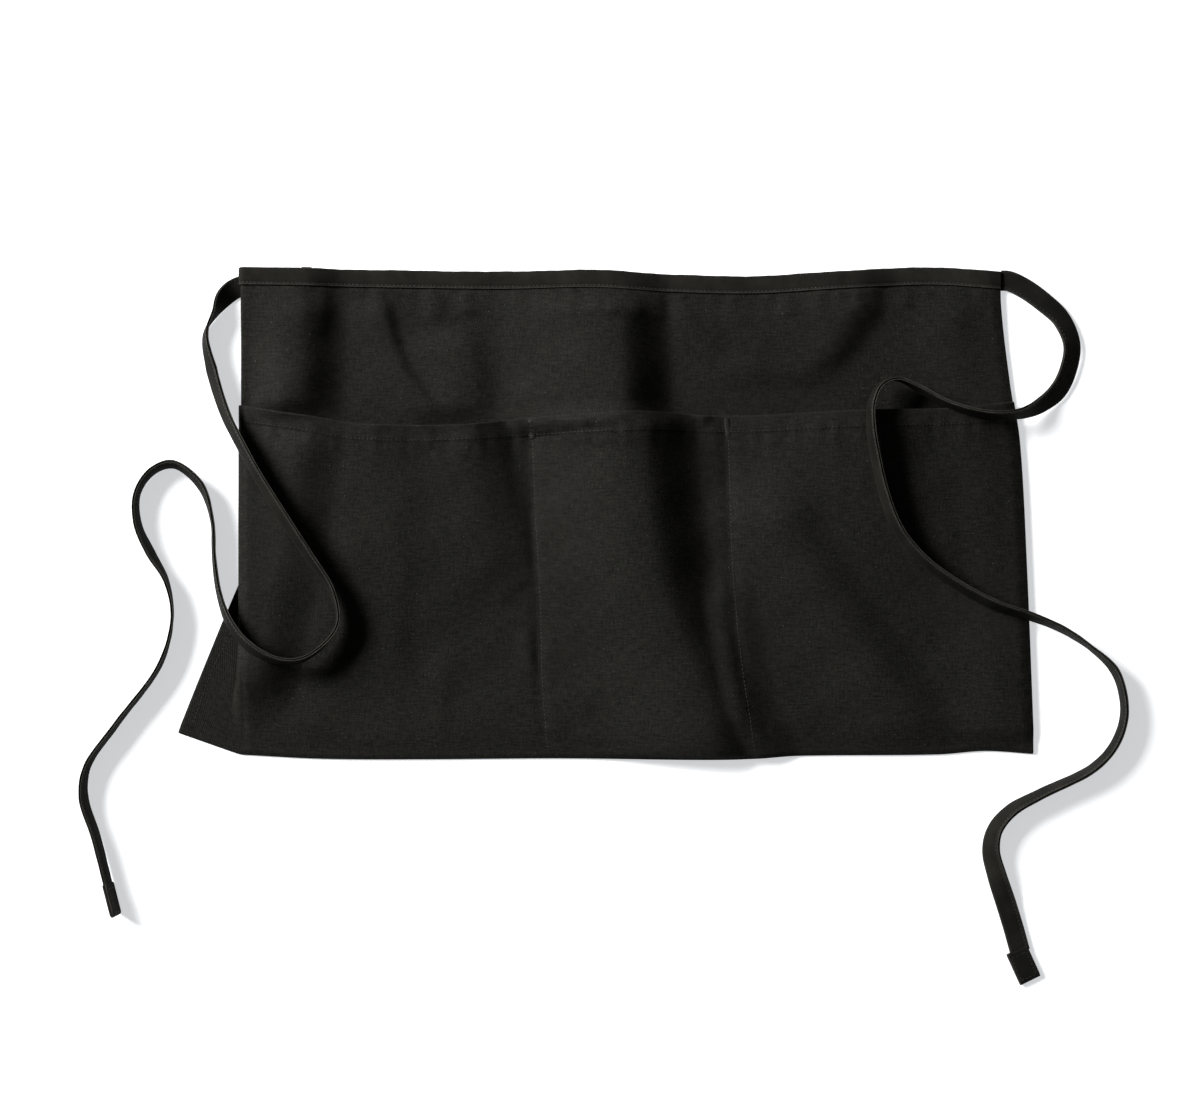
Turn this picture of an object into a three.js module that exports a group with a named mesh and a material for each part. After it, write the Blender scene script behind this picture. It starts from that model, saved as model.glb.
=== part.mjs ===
// Waist apron of black twill with three pockets, lying face up with its ties in loose loops.
// Millimetres, +Z up, +Y towards the waistband, the surface it lies on at z = 0.

import * as THREE from 'three';

// Driving sizes of the cloth as it lies
const apronHeight = 305;
const laidWidth = 473.5;
const pocketHeight = 218;
const stripWidth = 37.5;
const clothWall = 1;
const layerGap = 0.4;
const foldRelief = 20;
const pocketGape = 9;
const gapePower = 1.5;

// Driving sizes of the waistband
const bandHeight = 11;
const bandPly = 0.8;
const bandClearance = 0.3;

// Driving sizes of the ties
const tapeWidth = 12.7;
const tapeThickness = 2;
const endTabLength = 19;
const endTabWidth = 14.4;
const endTabThickness = 3.2;
const tieClearance = 0.3;
const tapeEdgeShare = 0.4;

// The turned side strip: its two rolls and the slanting crease that brings it out again
const upperRoll = 1.2;
const bandRoll = 2;
const lowerRoll = 2.1;
const creaseLean = THREE.MathUtils.degToRad(10.6);
const creaseStart = 0.322;
const flatteningRun = 14;
const hemClearance = 0.25;
const liftFall = 30;
const liftShelf = 2;
const bandSettle = 40;
const leastRun = 1;
const leastRoll = 4;
const leastHem = 3;

// How fine the sheets are
const upperRows = 6;
const pocketRows = 11;
const lipRows = 2;
const rollCells = 5;
const shortRunCells = 2;
const longRunCells = 3;
const ringsPerPoint = 2;
const pathStep = 0.05;
const steepestShare = 0.05;

// Columns across the sheet: cells up to each share of the width
const columnZones = [
  { upTo: 0.05, cells: 3 },
  { upTo: 0.17, cells: 8 },
  { upTo: 0.46, cells: 11 },
  { upTo: 0.6, cells: 10 },
  { upTo: 0.92, cells: 10 },
  { upTo: 1, cells: 3 },
];

// Outlines. across is a share of the way from the left fold to the right hem, the others are shares of
// the apron's height, measured down from its highest point
const topEdge = [
  { across: 0, down: 0.003 },
  { across: 0.121, down: 0.006 },
  { across: 0.342, down: 0.011 },
  { across: 0.46, down: 0.008 },
  { across: 0.556, down: 0.016 },
  { across: 0.671, down: 0.02 },
  { across: 0.784, down: 0.011 },
  { across: 0.905, down: 0.002 },
  { across: 1, down: 0.011 },
];
const bottomEdge = [
  { across: 0, down: 0.991 },
  { across: 0.1, down: 0.999 },
  { across: 0.23, down: 1 },
  { across: 0.39, down: 0.998 },
  { across: 0.62, down: 1 },
  { across: 0.7, down: 0.993 },
  { across: 0.88, down: 0.99 },
  { across: 0.94, down: 0.983 },
  { across: 1, down: 0.989 },
];

// How far the pocket's mouth dips below its full height, as a share of the pocket's height
const pocketMouth = [
  { across: 0, dip: 0 },
  { across: 0.07, dip: 0.022 },
  { across: 0.15, dip: 0.052 },
  { across: 0.28, dip: 0.054 },
  { across: 0.38, dip: 0.034 },
  { across: 0.52, dip: 0.022 },
  { across: 0.63, dip: 0.03 },
  { across: 0.8, dip: 0.014 },
  { across: 0.92, dip: 0.008 },
  { across: 1, dip: -0.01 },
];

// How far the right hem runs out past the waistband's end, as a share of the laid width
const rightHem = [
  { down: 0, out: 0 },
  { down: 0.08, out: 0 },
  { down: 0.24, out: 0.012 },
  { down: 0.36, out: 0.024 },
  { down: 0.61, out: 0.033 },
  { down: 1, out: 0.043 },
];

// The two stitched divider lines, as shares of the way across, down from the waistband
const dividers = [
  { down: 0.28, left: 0.373, right: 0.626 },
  { down: 0.51, left: 0.375, right: 0.625 },
  { down: 0.69, left: 0.379, right: 0.627 },
  { down: 0.85, left: 0.38, right: 0.635 },
  { down: 1, left: 0.386, right: 0.649 },
];

// Folds. The crest is a line of points, each a share of the laid width across and of the apron's height
// down. rise and fall are the runs of its two sides, also shares of the width. height is a share of
// foldRelief, at the crest's top and at its foot. fadeIn and fadeOut are shares of the height. bodyShare
// is how much of a pocket's fold the body cloth under it follows, all of it where no share is given.
const folds = [
  {
    name: 'drape over the turned strip',
    crest: [[0.062, 0.12], [0.064, 0.3]],
    rise: 0.05, fall: 0.082, height: [0.28, 0.2], fadeIn: 0.11, fadeOut: 0.1,
  },
  {
    name: 'faint fold above the left pocket',
    crest: [[0.29, 0.07], [0.285, 0.28]],
    rise: 0.06, fall: 0.06, height: [0.05, 0.12], fadeIn: 0.05, fadeOut: 0.05,
  },
  {
    name: 'main fold above the middle pocket',
    crest: [[0.486, 0.1], [0.492, 0.27]],
    rise: 0.13, fall: 0.09, height: [0.7, 0.9], fadeIn: 0.09, fadeOut: 0.06,
  },
  {
    name: 'slanting fold above the right pocket',
    crest: [[0.805, 0.05], [0.795, 0.12], [0.77, 0.18], [0.735, 0.21]],
    rise: 0.05, fall: 0.042, height: [0.22, 0.15], fadeIn: 0.04, fadeOut: 0.05,
  },
  {
    name: 'fold down to the left divider',
    crest: [[0.3, 0.3], [0.32, 0.6]],
    rise: 0.08, fall: 0.07, height: [0.25, 0.15], fadeIn: 0.04, fadeOut: 0.1,
  },
  {
    name: 'main fold of the middle pocket',
    crest: [[0.517, 0.33], [0.536, 0.52], [0.552, 0.67], [0.581, 0.77], [0.608, 0.87], [0.622, 0.98]],
    rise: 0.12, fall: 0.075, height: [0.85, 0.3], fadeIn: 0.06, fadeOut: 0.08, bodyShare: 0.4,
  },
  {
    name: 'slanting fold beside the right divider',
    crest: [[0.652, 0.7], [0.669, 0.81], [0.684, 0.9], [0.712, 0.99]],
    rise: 0.04, fall: 0.03, height: [0.2, 0.16], fadeIn: 0.06, fadeOut: 0.05,
  },
  {
    name: 'broad slanting fold of the right pocket',
    crest: [[0.722, 0.53], [0.785, 0.68], [0.828, 0.75], [0.867, 0.85]],
    rise: 0.06, fall: 0.05, height: [0.15, 0.12], fadeIn: 0.08, fadeOut: 0.08,
  },
  {
    name: 'roll along the right hem',
    crest: [[0.965, 0.06], [0.99, 0.4], [1.003, 0.94]],
    rise: 0.06, fall: 0.038, height: [0.22, 0.22], fadeIn: 0.05, fadeOut: 0.04,
  },
];

// The three pockets: the stitched lines they lie between, how far the mouth gapes as a share of
// pocketGape, and how deep the hollow runs as a share of the pocket's height
const pockets = [
  { name: 'left', gape: 1, depth: 0.8 },
  { name: 'middle', gape: 0.5, depth: 0.8 },
  { name: 'right', gape: 1, depth: 0.8 },
];

// Routes of the ties, one row a point: x, y and z of the tape's middle line, and the roll of the tape
// in degrees. At 0 and 180 it lies flat, at 90 it stands on its edge
const leftTieRoute = [
  [-190.3, 146.4, 4.2, 180],
  [-186.5, 146.4, 4.2, 180],
  [-185, 146.4, 2.7, 180],
  [-186.5, 146.3, 1.2, 180],
  [-190.5, 146.2, 1.2, 180],
  [-204, 144.8, 1.2, 180],
  [-224, 142, 1.3, 180],
  [-231.5, 139.6, 1.8, 172],
  [-238.5, 133.2, 4.8, 138],
  [-243.2, 124.5, 6.8, 100],
  [-249.6, 111, 6.8, 74],
  [-246, 88.7, 6.4, 56],
  [-237.4, 62, 9.5, 60],
  [-227.2, 42.5, 16.6, 62],
  [-216.3, 23, 19.4, 62],
  [-201.7, -0.3, 20.8, 60],
  [-186, -24.6, 20, 62],
  [-170.4, -49, 17.8, 72],
  [-167.5, -70, 16, 84],
  [-185.5, -89.3, 16.4, 98],
  [-201.7, -91.8, 18, 108],
  [-221.6, -82.5, 18.2, 118],
  [-234.6, -67.2, 12.5, 114],
  [-241.2, -50.1, 7.6, 106],
  [-244.4, -27.7, 6.8, 102],
  [-245.6, -4.7, 6.8, 100],
  [-253, 17.1, 6.6, 112],
  [-269.5, 30, 6.6, 108],
  [-282.6, 25.8, 6.8, 102],
  [-292, 12, 6.8, 96],
  [-291.6, -7, 6.8, 100],
  [-283.5, -25, 6.8, 106],
  [-274, -42, 6.8, 92],
  [-270.4, -64, 6.8, 82],
  [-277.5, -93.5, 6.8, 92],
  [-305, -131.5, 6.8, 96],
  [-323.1, -157.8, 6.8, 98],
  [-325.2, -176.5, 6.8, 104],
  [-317.5, -201, 7, 103],
  [-309.7, -231.3, 7.6, 102],
];

const rightTieRoute = [
  [244.7, 144.5, 1.7, 180],
  [249.5, 144.2, 1.7, 180],
  [259.2, 139.6, 1.8, 177],
  [270.2, 131.6, 2.5, 170],
  [281.8, 120.4, 3.8, 158],
  [288.2, 104.3, 4.9, 150],
  [285.7, 88, 4.7, 150],
  [279.6, 75.8, 4.4, 152],
  [268.5, 66.7, 6.6, 136],
  [254.6, 61.3, 12, 114],
  [239.5, 60.1, 15.6, 108],
  [222.6, 63, 15.8, 105],
  [206.7, 68.8, 14.4, 103],
  [191.1, 77.6, 13.8, 100],
  [178.7, 82.6, 14.8, 92],
  [168.7, 79.4, 16.6, 84],
  [162.8, 68.6, 19.4, 78],
  [162, 53.5, 21.8, 74],
  [165, 33.5, 20.9, 70],
  [170.2, 12.1, 18.4, 68],
  [179.3, -10.3, 16.2, 68],
  [194.5, -28.7, 14.6, 68],
  [215.2, -44, 13.8, 68],
  [239.7, -57, 14.2, 68],
  [262.1, -64.4, 11.4, 71],
  [282, -72.5, 7.6, 77],
  [299.4, -83.7, 6.8, 84],
  [313.7, -97, 6.6, 66],
  [319.3, -111.7, 6.7, 70],
  [320, -127.9, 6.7, 70],
  [313.7, -144.7, 6.7, 70],
  [300.7, -158.4, 6.6, 66],
  [268, -174.6, 6.2, 57],
  [250.2, -184.6, 5.9, 50],
  [240.3, -196.4, 5.6, 46],
  [237.8, -209.5, 5.2, 41],
  [241.5, -225, 4.2, 28],
  [247.8, -243.7, 2.3, 8],
  [252.2, -258, 1.8, 0],
  [256.2, -272.6, 1.9, 0],
];

// Small helpers

const layerPitch = clothWall + layerGap;
const lipReach = layerPitch + clothWall / 2;
const topY = (apronHeight + lipReach) / 2;
const bottomY = topY - apronHeight;
const bandHalf = clothWall / 2 + bandClearance + bandPly;
const bandCover = bandPly + bandClearance;
const comeOut = 2 * creaseLean;
const flare = rightHem[rightHem.length - 1].out * laidWidth;
const leftFoldX = (stripWidth * Math.cos(comeOut) - laidWidth - flare) / 2;
const creaseTopY = topY - creaseStart * apronHeight;
const stripLift = tapeThickness + 2 * tieClearance;

function clampShare(value) {
  return Math.min(Math.max(value, 0), 1);
}

function easeInOut(share) {
  const s = clampShare(share);
  return s * s * (3 - 2 * s);
}

function mix(a, b, share) {
  return a + (b - a) * share;
}

// Smooth reading of one column of a table between its rows
function readTable(rows, key, column, at) {
  const last = rows.length - 1;
  if (at <= rows[0][key]) return rows[0][column];
  if (at >= rows[last][key]) return rows[last][column];
  let i = 0;
  while (rows[i + 1][key] < at) i += 1;
  const step = rows[i + 1][key] - rows[i][key];
  const slope = (k) => {
    const a = rows[Math.max(k - 1, 0)];
    const b = rows[Math.min(k + 1, last)];
    return (b[column] - a[column]) / (b[key] - a[key]);
  };
  const s = (at - rows[i][key]) / step;
  const rise = rows[i + 1][column] - rows[i][column];
  const m0 = slope(i) * step;
  const m1 = slope(i + 1) * step;
  return rows[i][column] + s * (m0 + s * (3 * rise - 2 * m0 - m1 + s * (m0 + m1 - 2 * rise)));
}

// Where the rows of the sheet run: y of a row at a share of the way across

const bandLineY = (across) => topY - readTable(topEdge, 'across', 'down', across) * apronHeight - bandHeight;
const bottomLineY = (across) => topY - readTable(bottomEdge, 'across', 'down', across) * apronHeight;
const mouthLineY = (across) => (
  bottomY + pocketHeight * (1 - readTable(pocketMouth, 'across', 'dip', across))
);

function rightHemX(y) {
  const down = (topY - y) / apronHeight;
  return leftFoldX + laidWidth * (1 + readTable(rightHem, 'down', 'out', down));
}

// Rows from inside the waistband to the bottom edge; the pocket starts at row pocketStart
const sheetRows = [
  { y: (across) => bandLineY(across) + bandHeight - bandCover, inBand: true },
  { y: bandLineY, inBand: true },
];
for (let k = 1; k < upperRows; k += 1) {
  sheetRows.push({ y: (across) => mix(bandLineY(across), mouthLineY(across), k / upperRows) });
}
const pocketStart = sheetRows.length;
for (let k = 0; k <= pocketRows; k += 1) {
  sheetRows.push({ y: (across) => mix(mouthLineY(across), bottomLineY(across), k / pocketRows) });
}

const mainColumns = [0];
for (const zone of columnZones) {
  const from = mainColumns[mainColumns.length - 1];
  for (let k = 1; k <= zone.cells; k += 1) {
    mainColumns.push(mix(from, zone.upTo, k / zone.cells));
  }
}

// Height of the folds over the place where the cloth lies flat

function foldHeight(fold, x, y) {
  const down = (topY - y) / apronHeight;
  const crest = fold.crest;
  const first = crest[0][1];
  const last = crest[crest.length - 1][1];
  const inside = easeInOut((down - first + fold.fadeIn) / fold.fadeIn) *
    easeInOut((last + fold.fadeOut - down) / fold.fadeOut);
  if (inside === 0) return 0;
  const along = clampShare((down - first) / (last - first));
  const crestX = leftFoldX + laidWidth * readTable(crest, 1, 0, down);
  const side = (x - crestX) / laidWidth;
  const run = side < 0 ? fold.rise : fold.fall;
  const across = 1 - easeInOut(Math.abs(side) / run);
  return foldRelief * mix(fold.height[0], fold.height[1], along) * inside * across;
}

const bodyFoldsAt = (x, y) => folds.reduce(
  (sum, fold) => sum + (fold.bodyShare ?? 1) * foldHeight(fold, x, y),
  0,
);
const pocketFoldsAt = (x, y) => folds.reduce(
  (sum, fold) => sum + (1 - (fold.bodyShare ?? 1)) * foldHeight(fold, x, y),
  0,
);

// Share of the full waistband thickness that the cloth still needs under it at a height
const nearBand = (y, across) => easeInOut((y - bandLineY(across) + bandSettle) / bandSettle);

// The turned strip: a path from the sheet's flat part round the upper roll, under the sheet to the
// crease, and out again. Its points hold x, z, how far the cloth has drifted up the sheet, and y
function stripPath(row) {
  const y = row.y(0);
  const underBand = nearBand(y, 0);
  const roll = mix(upperRoll, bandRoll, underBand);
  const turnOne = Math.PI * roll;
  const turnTwo = Math.PI * lowerRoll;
  const crease = Math.max(stripWidth - Math.tan(creaseLean) * (creaseTopY - y), 0);
  const bend = Math.PI * easeInOut(crease / flatteningRun);
  const outward = (t) => clampShare((t - crease + turnTwo / 2) / turnTwo);
  const turned = (t) => bend * (clampShare((t + turnOne / 2) / turnOne) - outward(t));

  const lastRunEnd = stripWidth - leastRoll - leastHem - leastRun;
  const runEnd = Math.min(Math.max(crease - turnTwo / 2, turnOne / 2 + leastRun), lastRunEnd);
  const rollEnd = Math.min(Math.max(crease + turnTwo / 2, runEnd + leastRoll), stripWidth - leastHem);
  const stops = [
    { to: turnOne / 2, cells: rollCells },
    { to: runEnd, cells: shortRunCells },
    { to: rollEnd, cells: rollCells },
    { to: stripWidth, cells: longRunCells },
  ];
  const stations = [-turnOne / 2];
  for (const stop of stops) {
    const from = stations[stations.length - 1];
    for (let k = 1; k <= stop.cells; k += 1) stations.push(mix(from, stop.to, k / stop.cells));
  }

  let t = stations[0];
  let x = leftFoldX + layerPitch + clothWall / 2 + roll;
  let z = 0;
  let drift = 0;
  const path = [];
  for (const station of stations) {
    while (t < station - pathStep / 2) {
      const dt = Math.min(pathStep, station - t);
      const angle = turned(t + dt / 2);
      const lean = comeOut * outward(t + dt / 2);
      x -= Math.cos(angle) * Math.cos(lean) * dt;
      z -= Math.sin(angle) * dt;
      drift += Math.cos(angle) * Math.sin(lean) * dt;
      t += dt;
    }
    path.push({ x, z, y: y + drift, facesUp: Math.cos(turned(station)) });
  }

  // The lowest face of the stack rests on the surface, or on the tie under the waistband
  const pocketReach = layerPitch + clothWall / 2 + hemClearance;
  const frontReach = row.inBand ? bandHalf : mix(pocketReach, bandHalf, underBand);
  const backReach = row.inBand ? bandHalf : clothWall / 2;
  const lowest = Math.min(...path.map((p) => p.z - (p.facesUp > 0 ? backReach : frontReach) *
    Math.abs(p.facesUp)));
  const raise = stripLift * underBand - lowest;
  path.forEach((p) => { p.z += raise; });
  return { path, crease };
}

// Middle surface of the body cloth as rows of points, from the strip's hem to the right hem

function bodyRow(row) {
  const { path, crease } = stripPath(row);
  const joint = path[0];
  const points = path.slice(1).reverse().map((p) => new THREE.Vector3(p.x, p.y, p.z));
  for (const across of mainColumns) {
    const y = row.y(across);
    const x = mix(joint.x, rightHemX(y), across);
    const flat = mix(clothWall / 2, bandHalf, row.inBand ? 1 : nearBand(y, across));
    const shelf = leftFoldX + crease + liftShelf;
    const foldUnder = Math.min(shelf, leftFoldX + stripWidth + liftShelf);
    const lift = (joint.z - flat) * (1 - easeInOut((x - foldUnder) / liftFall));
    const foldY = row.inBand ? bandLineY(across) : y;
    points.push(new THREE.Vector3(x, y, flat + lift + bodyFoldsAt(x, foldY)));
  }
  return points;
}

// Unit normals of a grid of points, towards the apron's front
function gridNormals(grid) {
  return grid.map((row, i) => row.map((point, j) => {
    const down = new THREE.Vector3().subVectors(
      grid[Math.min(i + 1, grid.length - 1)][j],
      grid[Math.max(i - 1, 0)][j],
    );
    const along = new THREE.Vector3().subVectors(
      row[Math.min(j + 1, row.length - 1)],
      row[Math.max(j - 1, 0)],
    );
    return down.cross(along).normalize();
  }));
}

const bodyGrid = sheetRows.map(bodyRow);
const bodyNormals = gridNormals(bodyGrid);

// How far the pocket cloth stands off the body at a place, stitched down at the hems and dividers
function gapeAt(x, y) {
  const across = (x - leftFoldX) / (rightHemX(y) - leftFoldX);
  const down = (topY - y) / apronHeight;
  const lines = [
    0,
    readTable(dividers, 'down', 'left', down),
    readTable(dividers, 'down', 'right', down),
    1,
  ];
  const pocket = pockets.findIndex((p, k) => across >= lines[k] && across <= lines[k + 1]);
  if (pocket < 0) return 0;
  const middle = (across - lines[pocket]) / (lines[pocket + 1] - lines[pocket]);
  const sideways = (4 * middle * (1 - middle)) ** gapePower;
  const depth = (mouthLineY(across) - y) / pocketHeight / pockets[pocket].depth;
  return pocketGape * pockets[pocket].gape * sideways * (1 - easeInOut(depth));
}

// Middle surface of the pocket cloth: the body's, raised by a layer and the pockets' gape, and a
// quarter turn round the body's bottom edge
const stripColumns = bodyGrid[0].length - mainColumns.length;
const pocketGrid = [];
for (let i = pocketStart; i < bodyGrid.length; i += 1) {
  pocketGrid.push(bodyGrid[i].map((point, j) => {
    const raised = point.clone().addScaledVector(bodyNormals[i][j], layerPitch);
    if (j > stripColumns) raised.z += gapeAt(point.x, point.y) + pocketFoldsAt(point.x, point.y);
    return raised;
  }));
}
const lastRow = bodyGrid.length - 1;
for (let k = 1; k <= lipRows; k += 1) {
  const turn = (Math.PI / 2) * (k / lipRows);
  pocketGrid.push(bodyGrid[lastRow].map((point, j) => {
    const down = new THREE.Vector3().subVectors(point, bodyGrid[lastRow - 1][j]).setZ(0).normalize();
    return point.clone()
      .addScaledVector(bodyNormals[lastRow][j], layerPitch * Math.cos(turn))
      .addScaledVector(down, layerPitch * Math.sin(turn));
  }));
}
const pocketNormals = gridNormals(pocketGrid);

// Solids

function solidFrom(points, faces) {
  const geometry = new THREE.BufferGeometry();
  geometry.setAttribute('position', new THREE.Float32BufferAttribute(points.flatMap((p) => p.toArray()), 3));
  geometry.setIndex(faces);
  geometry.computeVertexNormals();
  return geometry;
}

// A closed sheet of one thickness round a middle surface
function sheetSolid(grid, normals, thickness) {
  const rows = grid.length;
  const columns = grid[0].length;
  const points = [];
  for (const side of [1, -1]) {
    grid.forEach((row, i) => row.forEach((point, j) => {
      points.push(point.clone().addScaledVector(normals[i][j], side * thickness / 2));
    }));
  }
  const front = (i, j) => i * columns + j;
  const back = (i, j) => rows * columns + i * columns + j;
  const faces = [];
  const quad = (a, b, c, d) => faces.push(a, b, c, a, c, d);
  for (let i = 0; i < rows - 1; i += 1) {
    for (let j = 0; j < columns - 1; j += 1) {
      quad(front(i, j), front(i + 1, j), front(i + 1, j + 1), front(i, j + 1));
      faces.push(back(i, j), back(i + 1, j + 1), back(i + 1, j));
      faces.push(back(i, j), back(i, j + 1), back(i + 1, j + 1));
    }
  }
  for (let j = 0; j < columns - 1; j += 1) {
    quad(front(0, j), front(0, j + 1), back(0, j + 1), back(0, j));
    quad(front(rows - 1, j + 1), front(rows - 1, j), back(rows - 1, j), back(rows - 1, j + 1));
  }
  for (let i = 0; i < rows - 1; i += 1) {
    quad(front(i + 1, 0), front(i, 0), back(i, 0), back(i + 1, 0));
    quad(front(i, columns - 1), front(i + 1, columns - 1), back(i + 1, columns - 1), back(i, columns - 1));
  }
  return solidFrom(points, faces);
}

// A closed loft through rings of points that all run the same way round
function ringSolid(rings) {
  const sides = rings[0].length;
  const points = rings.flat();
  const at = (i, j) => i * sides + (j % sides);
  const faces = [];
  for (let i = 0; i < rings.length - 1; i += 1) {
    for (let j = 0; j < sides; j += 1) {
      faces.push(at(i, j), at(i, j + 1), at(i + 1, j + 1));
      faces.push(at(i, j), at(i + 1, j + 1), at(i + 1, j));
    }
  }
  const last = rings.length - 1;
  return { points, faces, at, last, sides };
}

// The waistband: tape folded over the body's top edge, a channel with a rounded top
function waistbandSolid() {
  const inner = clothWall / 2 + bandClearance;
  const lower = bandCover - bandHeight;
  const section = [
    [lower, bandHalf], [bandCover - bandPly, bandHalf], [bandCover, bandHalf / 2],
    [bandCover, -bandHalf / 2], [bandCover - bandPly, -bandHalf], [lower, -bandHalf],
    [lower, -inner], [bandClearance, -inner], [bandClearance, inner], [lower, inner],
  ];
  const rings = bodyGrid[0].map((point, j) => section.map(([up, out]) => point.clone()
    .addScaledVector(bodyNormals[0][j], out)
    .add(new THREE.Vector3(0, up, 0)))).reverse();
  const { points, faces, at, last } = ringSolid(rings);
  const capCells = [[0, 1, 8, 9], [1, 2, 3, 4], [1, 4, 7, 8], [4, 5, 6, 7]];
  for (const [a, b, c, d] of capCells) {
    faces.push(at(0, a), at(0, c), at(0, b), at(0, a), at(0, d), at(0, c));
    faces.push(at(last, a), at(last, b), at(last, c), at(last, a), at(last, c), at(last, d));
  }
  return solidFrom(points, faces);
}

// Frames along a tie: its middle line, the way across the tape and its face's normal
function tieFrames(route) {
  const curve = new THREE.CatmullRomCurve3(
    route.map(([x, y, z]) => new THREE.Vector3(x, y, z)),
    false,
    'centripetal',
  );
  const steps = (route.length - 1) * ringsPerPoint;
  const up = new THREE.Vector3(0, 0, 1);
  let level = null;
  const frames = [];
  for (let k = 0; k <= steps; k += 1) {
    const share = k / steps;
    const middle = curve.getPoint(share);
    const tangent = curve.getTangent(share);
    const sideways = new THREE.Vector3().crossVectors(up, tangent);
    if (level && (sideways.length() < steepestShare || sideways.dot(level) < 0)) sideways.negate();
    if (sideways.length() < steepestShare) sideways.copy(level);
    level = sideways.normalize().clone();
    const at = share * (route.length - 1);
    const i = Math.min(Math.floor(at), route.length - 2);
    const roll = THREE.MathUtils.degToRad(mix(route[i][3], route[i + 1][3], at - i));
    const face = new THREE.Vector3().crossVectors(tangent, level).normalize();
    frames.push({
      middle,
      tangent,
      across: level.clone().multiplyScalar(Math.cos(roll)).addScaledVector(face, Math.sin(roll)),
      face: face.clone().multiplyScalar(Math.cos(roll)).addScaledVector(level, -Math.sin(roll)),
    });
  }
  return frames;
}

// Eight-sided section of a tape with softened edges
function tapeSection(width, thickness) {
  const halfWidth = width / 2;
  const flatHalf = halfWidth - thickness / 2;
  const halfThickness = thickness / 2;
  const edgeHalf = halfThickness * tapeEdgeShare;
  return [
    [halfWidth, edgeHalf], [flatHalf, halfThickness], [-flatHalf, halfThickness], [-halfWidth, edgeHalf],
    [-halfWidth, -edgeHalf], [-flatHalf, -halfThickness], [flatHalf, -halfThickness], [halfWidth, -edgeHalf],
  ];
}

function tapeSolid(frames, width, thickness) {
  const section = tapeSection(width, thickness);
  const rings = frames.map(({ middle, across, face }) => section.map(([a, f]) => middle.clone()
    .addScaledVector(across, a)
    .addScaledVector(face, f)));
  const { points, faces, at, last, sides } = ringSolid(rings);
  for (let j = 1; j < sides - 1; j += 1) {
    faces.push(at(0, 0), at(0, j + 1), at(0, j));
    faces.push(at(last, 0), at(last, j), at(last, j + 1));
  }
  return solidFrom(points, faces);
}

// The end of a tie, folded back on itself and sewn: a short thick tab in line with the last stretch
function tieEndSolid(frames) {
  const end = frames[frames.length - 1];
  const tabFrames = [];
  for (const share of [0, 0.5, 1]) {
    tabFrames.push({
      ...end,
      middle: end.middle.clone().addScaledVector(end.tangent, tieClearance + share * endTabLength),
    });
  }
  return tapeSolid(tabFrames, endTabWidth, endTabThickness);
}

// The assembly

const twill = { color: 0x252524, roughness: 0.92, metalness: 0 };
const tape = { color: 0x1f1f1e, roughness: 0.88, metalness: 0 };

function addMesh(group, name, geometry, finish) {
  const mesh = new THREE.Mesh(geometry, new THREE.MeshStandardMaterial(finish));
  mesh.name = name;
  group.add(mesh);
}

const leftFrames = tieFrames(leftTieRoute);
const rightFrames = tieFrames(rightTieRoute);

const apron = new THREE.Group();
addMesh(apron, 'body_panel', sheetSolid(bodyGrid, bodyNormals, clothWall), twill);
addMesh(apron, 'pocket_panel', sheetSolid(pocketGrid, pocketNormals, clothWall), twill);
addMesh(apron, 'waistband', waistbandSolid(), tape);
addMesh(apron, 'left_tie', tapeSolid(leftFrames, tapeWidth, tapeThickness), tape);
addMesh(apron, 'right_tie', tapeSolid(rightFrames, tapeWidth, tapeThickness), tape);
addMesh(apron, 'left_tie_end', tieEndSolid(leftFrames), tape);
addMesh(apron, 'right_tie_end', tieEndSolid(rightFrames), tape);

export default apron;
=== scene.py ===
"""Waist apron of black twill, lying face up on a pale floor with its ties in loose loops.

The cloth follows the same sizes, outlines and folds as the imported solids, on a much finer grid, with its
hems, puckers, stitches and weave. Lengths are in millimetres until a mesh is made, which is in metres.
"""
import logging
import math
from abc import ABC, abstractmethod
from dataclasses import dataclass, field
from enum import Enum
from typing import Sequence

import bpy
import numpy as np
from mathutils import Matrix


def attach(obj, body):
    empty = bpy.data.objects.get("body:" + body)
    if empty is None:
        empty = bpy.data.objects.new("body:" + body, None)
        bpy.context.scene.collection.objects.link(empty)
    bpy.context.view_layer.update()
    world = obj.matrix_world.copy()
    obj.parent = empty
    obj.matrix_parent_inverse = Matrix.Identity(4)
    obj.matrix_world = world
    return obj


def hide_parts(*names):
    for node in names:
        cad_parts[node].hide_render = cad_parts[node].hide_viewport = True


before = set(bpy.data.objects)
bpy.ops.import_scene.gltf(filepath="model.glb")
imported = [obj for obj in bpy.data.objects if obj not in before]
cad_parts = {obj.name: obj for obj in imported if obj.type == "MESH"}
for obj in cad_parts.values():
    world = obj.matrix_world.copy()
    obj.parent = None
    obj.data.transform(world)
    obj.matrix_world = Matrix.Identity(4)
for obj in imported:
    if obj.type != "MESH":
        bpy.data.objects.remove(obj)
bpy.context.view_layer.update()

logging.basicConfig(level=logging.INFO, format="%(message)s")
log = logging.getLogger("apron")

MM = 0.001
# The photo's width in pixels, its millimetres to a pixel, and one place on it and on the floor plan
IMAGE_WIDTH = 1200
PIXEL = 0.6225
PHOTO_MARK = (240, 267)
FLOOR_MARK = (-229.45, 153.45)

Table = Sequence[Sequence[float]]
Array = np.ndarray


# Numbers and tables

def ease(share: Array | float) -> Array:
    """A smooth step from 0 to 1, flat outside it."""
    s = np.clip(share, 0.0, 1.0)
    return s * s * (3 - 2 * s)


def mix(a: Array | float, b: Array | float, share: Array | float) -> Array | float:
    """The value a share of the way from a to b."""
    return a + (b - a) * share


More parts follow.
